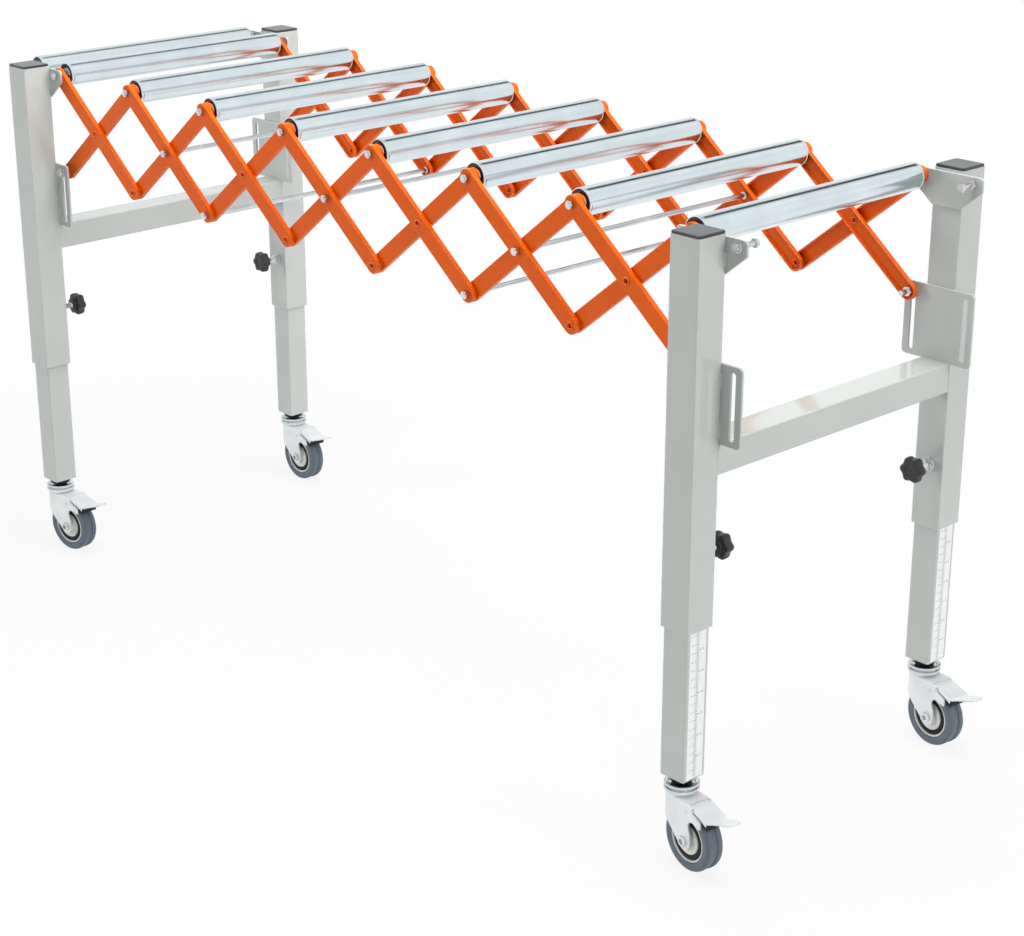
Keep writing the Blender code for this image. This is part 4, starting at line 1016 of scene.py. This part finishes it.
# Studio floor: seamless white paper, rolled out flat under the conveyor, where it keeps the soft shadows.
# It shows part of its own white, more so away from the object, where the lamps fall off.
paper, tree, shader = new_finish("white_studio_paper", {"Base Color": linear("D6D6D6"), "Roughness": 0.9})
path = add_node(tree, "ShaderNodeLightPath")
rays = {0: (path, "Is Camera Ray"), 1: (path, "Is Glossy Ray")}
seen = add_node(tree, "ShaderNodeMath", {"operation": "MAXIMUM"}, rays)
rays = {0: (seen, "Value"), 1: (path, "Is Transmission Ray")}
shown = add_node(tree, "ShaderNodeMath", {"operation": "MAXIMUM"}, rays)
place = add_node(tree, "ShaderNodeTexCoord")
away = add_node(tree, "ShaderNodeVectorMath", {"operation": "LENGTH"}, {0: (place, "Object")})
share = add_node(
    tree, "ShaderNodeMapRange", {"From Min": 0.8, "From Max": 1.8, "To Min": 0.86}, {"Value": (away, "Value")}
)
own_white = add_node(
    tree, "ShaderNodeMath", {"operation": "MULTIPLY"}, {0: (shown, "Value"), 1: (share, "Result")}
)
glow = add_node(tree, "ShaderNodeEmission", {"Color": linear("FFFFFF"), "Strength": 1.0})
mixed = add_node(
    tree, "ShaderNodeMixShader", None,
    {"Fac": (own_white, "Value"), 1: (shader, "BSDF"), 2: (glow, "Emission")},
)
tree.links.new(mixed.outputs["Shader"], tree.nodes["Material Output"].inputs["Surface"])
floor = bmesh.new()
reach = 20.0
bmesh.ops.create_grid(floor, x_segments=4, y_segments=4, size=reach)
floor_mesh = bpy.data.meshes.new("studio_floor")
floor.to_mesh(floor_mesh)
floor.free()
floor_mesh.materials.append(paper)
studio_floor = bpy.data.objects.new("studio_floor", floor_mesh)
bpy.context.scene.collection.objects.link(studio_floor)

# Room: dim white walls, a soft overhead light and two large panels far off at the sides.
# Polished metal mirrors a bright ceiling with one narrow unlit gap, the dark line along each roller.
world = bpy.data.worlds.new("white_studio")
bpy.context.scene.world = world
world.use_nodes = True
tree = world.node_tree
room = tree.nodes["Background"]
room.inputs["Color"].default_value = linear("FAFCFC")
room.inputs["Strength"].default_value = 0.26
sight = add_node(tree, "ShaderNodeTexCoord")
split = add_node(tree, "ShaderNodeSeparateXYZ", None, {"Vector": (sight, "Generated")})


def outside(axis, middle, narrow, wide):
    """0 within a band of directions along an axis and 1 outside it."""
    offset = add_node(tree, "ShaderNodeMath", {"operation": "SUBTRACT", 1: middle}, {0: (split, axis)})
    apart = add_node(tree, "ShaderNodeMath", {"operation": "ABSOLUTE"}, {0: (offset, "Value")})
    limits = {"From Min": narrow, "From Max": wide}
    return add_node(tree, "ShaderNodeMapRange", limits, {"Value": (apart, "Value")})


bands = {0: (outside("X", -0.24, 0.1, 0.18), "Result"), 1: (outside("Y", 0.68, 0.16, 0.24), "Result")}
lit = add_node(tree, "ShaderNodeMath", {"operation": "MAXIMUM"}, bands)
tones = {"Color1": linear("1E2224"), "Color2": linear("FBFDFD")}
panels = add_node(tree, "ShaderNodeMixRGB", tones, {"Fac": (lit, "Value")})
mirrored = add_node(tree, "ShaderNodeBackground", {"Strength": 1.0}, {"Color": (panels, "Color")})
backdrop = add_node(tree, "ShaderNodeBackground", {"Color": linear("FFFFFF"), "Strength": 1.0})
path = add_node(tree, "ShaderNodeLightPath")
reflected = add_node(
    tree, "ShaderNodeMixShader", None,
    {"Fac": (path, "Is Glossy Ray"), 1: (room, "Background"), 2: (mirrored, "Background")},
)
rays = {0: (path, "Is Camera Ray"), 1: (path, "Is Transmission Ray")}
plain_view = add_node(tree, "ShaderNodeMath", {"operation": "MAXIMUM"}, rays)
switch = add_node(
    tree, "ShaderNodeMixShader", None,
    {"Fac": (plain_view, "Value"), 1: (reflected, "Shader"), 2: (backdrop, "Background")},
)
tree.links.new(switch.outputs["Shader"], tree.nodes["World Output"].inputs["Surface"])

for name, spot, size, power in (
    ("overhead_softbox", (0.2, 0.1, 2.6), 2.0, 80),
    ("right_panel", (10.0, 1.6, 4.0), 5.2, 565),
    ("left_panel", (-14.4, -14.4, 4.8), 6.0, 1720),
):
    lamp = bpy.data.lights.new(name, "AREA")
    lamp.shape = "SQUARE"
    lamp.size = size
    lamp.energy = power
    stand = bpy.data.objects.new(name, lamp)
    stand.location = spot
    stand.rotation_euler = (Vector((0, 0, 0.4)) - Vector(spot)).to_track_quat("-Z", "Y").to_euler()
    stand.visible_glossy = False
    bpy.context.scene.collection.objects.link(stand)

# Camera: stands off the front right corner at chest height and looks down along the conveyor.
# A long lens keeps the two frames' lines close to parallel, as in a catalogue picture.
lens = bpy.data.cameras.new("photographer")
lens.sensor_width = 36
lens.lens = 78.33
lens.clip_end = 100
viewer = bpy.data.objects.new("photographer", lens)
viewer.location = (2.0559, -1.8284, 1.2739)
viewer.rotation_euler = (math.radians(90 - 20.59), 0, math.radians(46.90))
bpy.context.scene.collection.objects.link(viewer)
bpy.context.scene.camera = viewer
bpy.context.scene.view_settings.view_transform = "Standard"
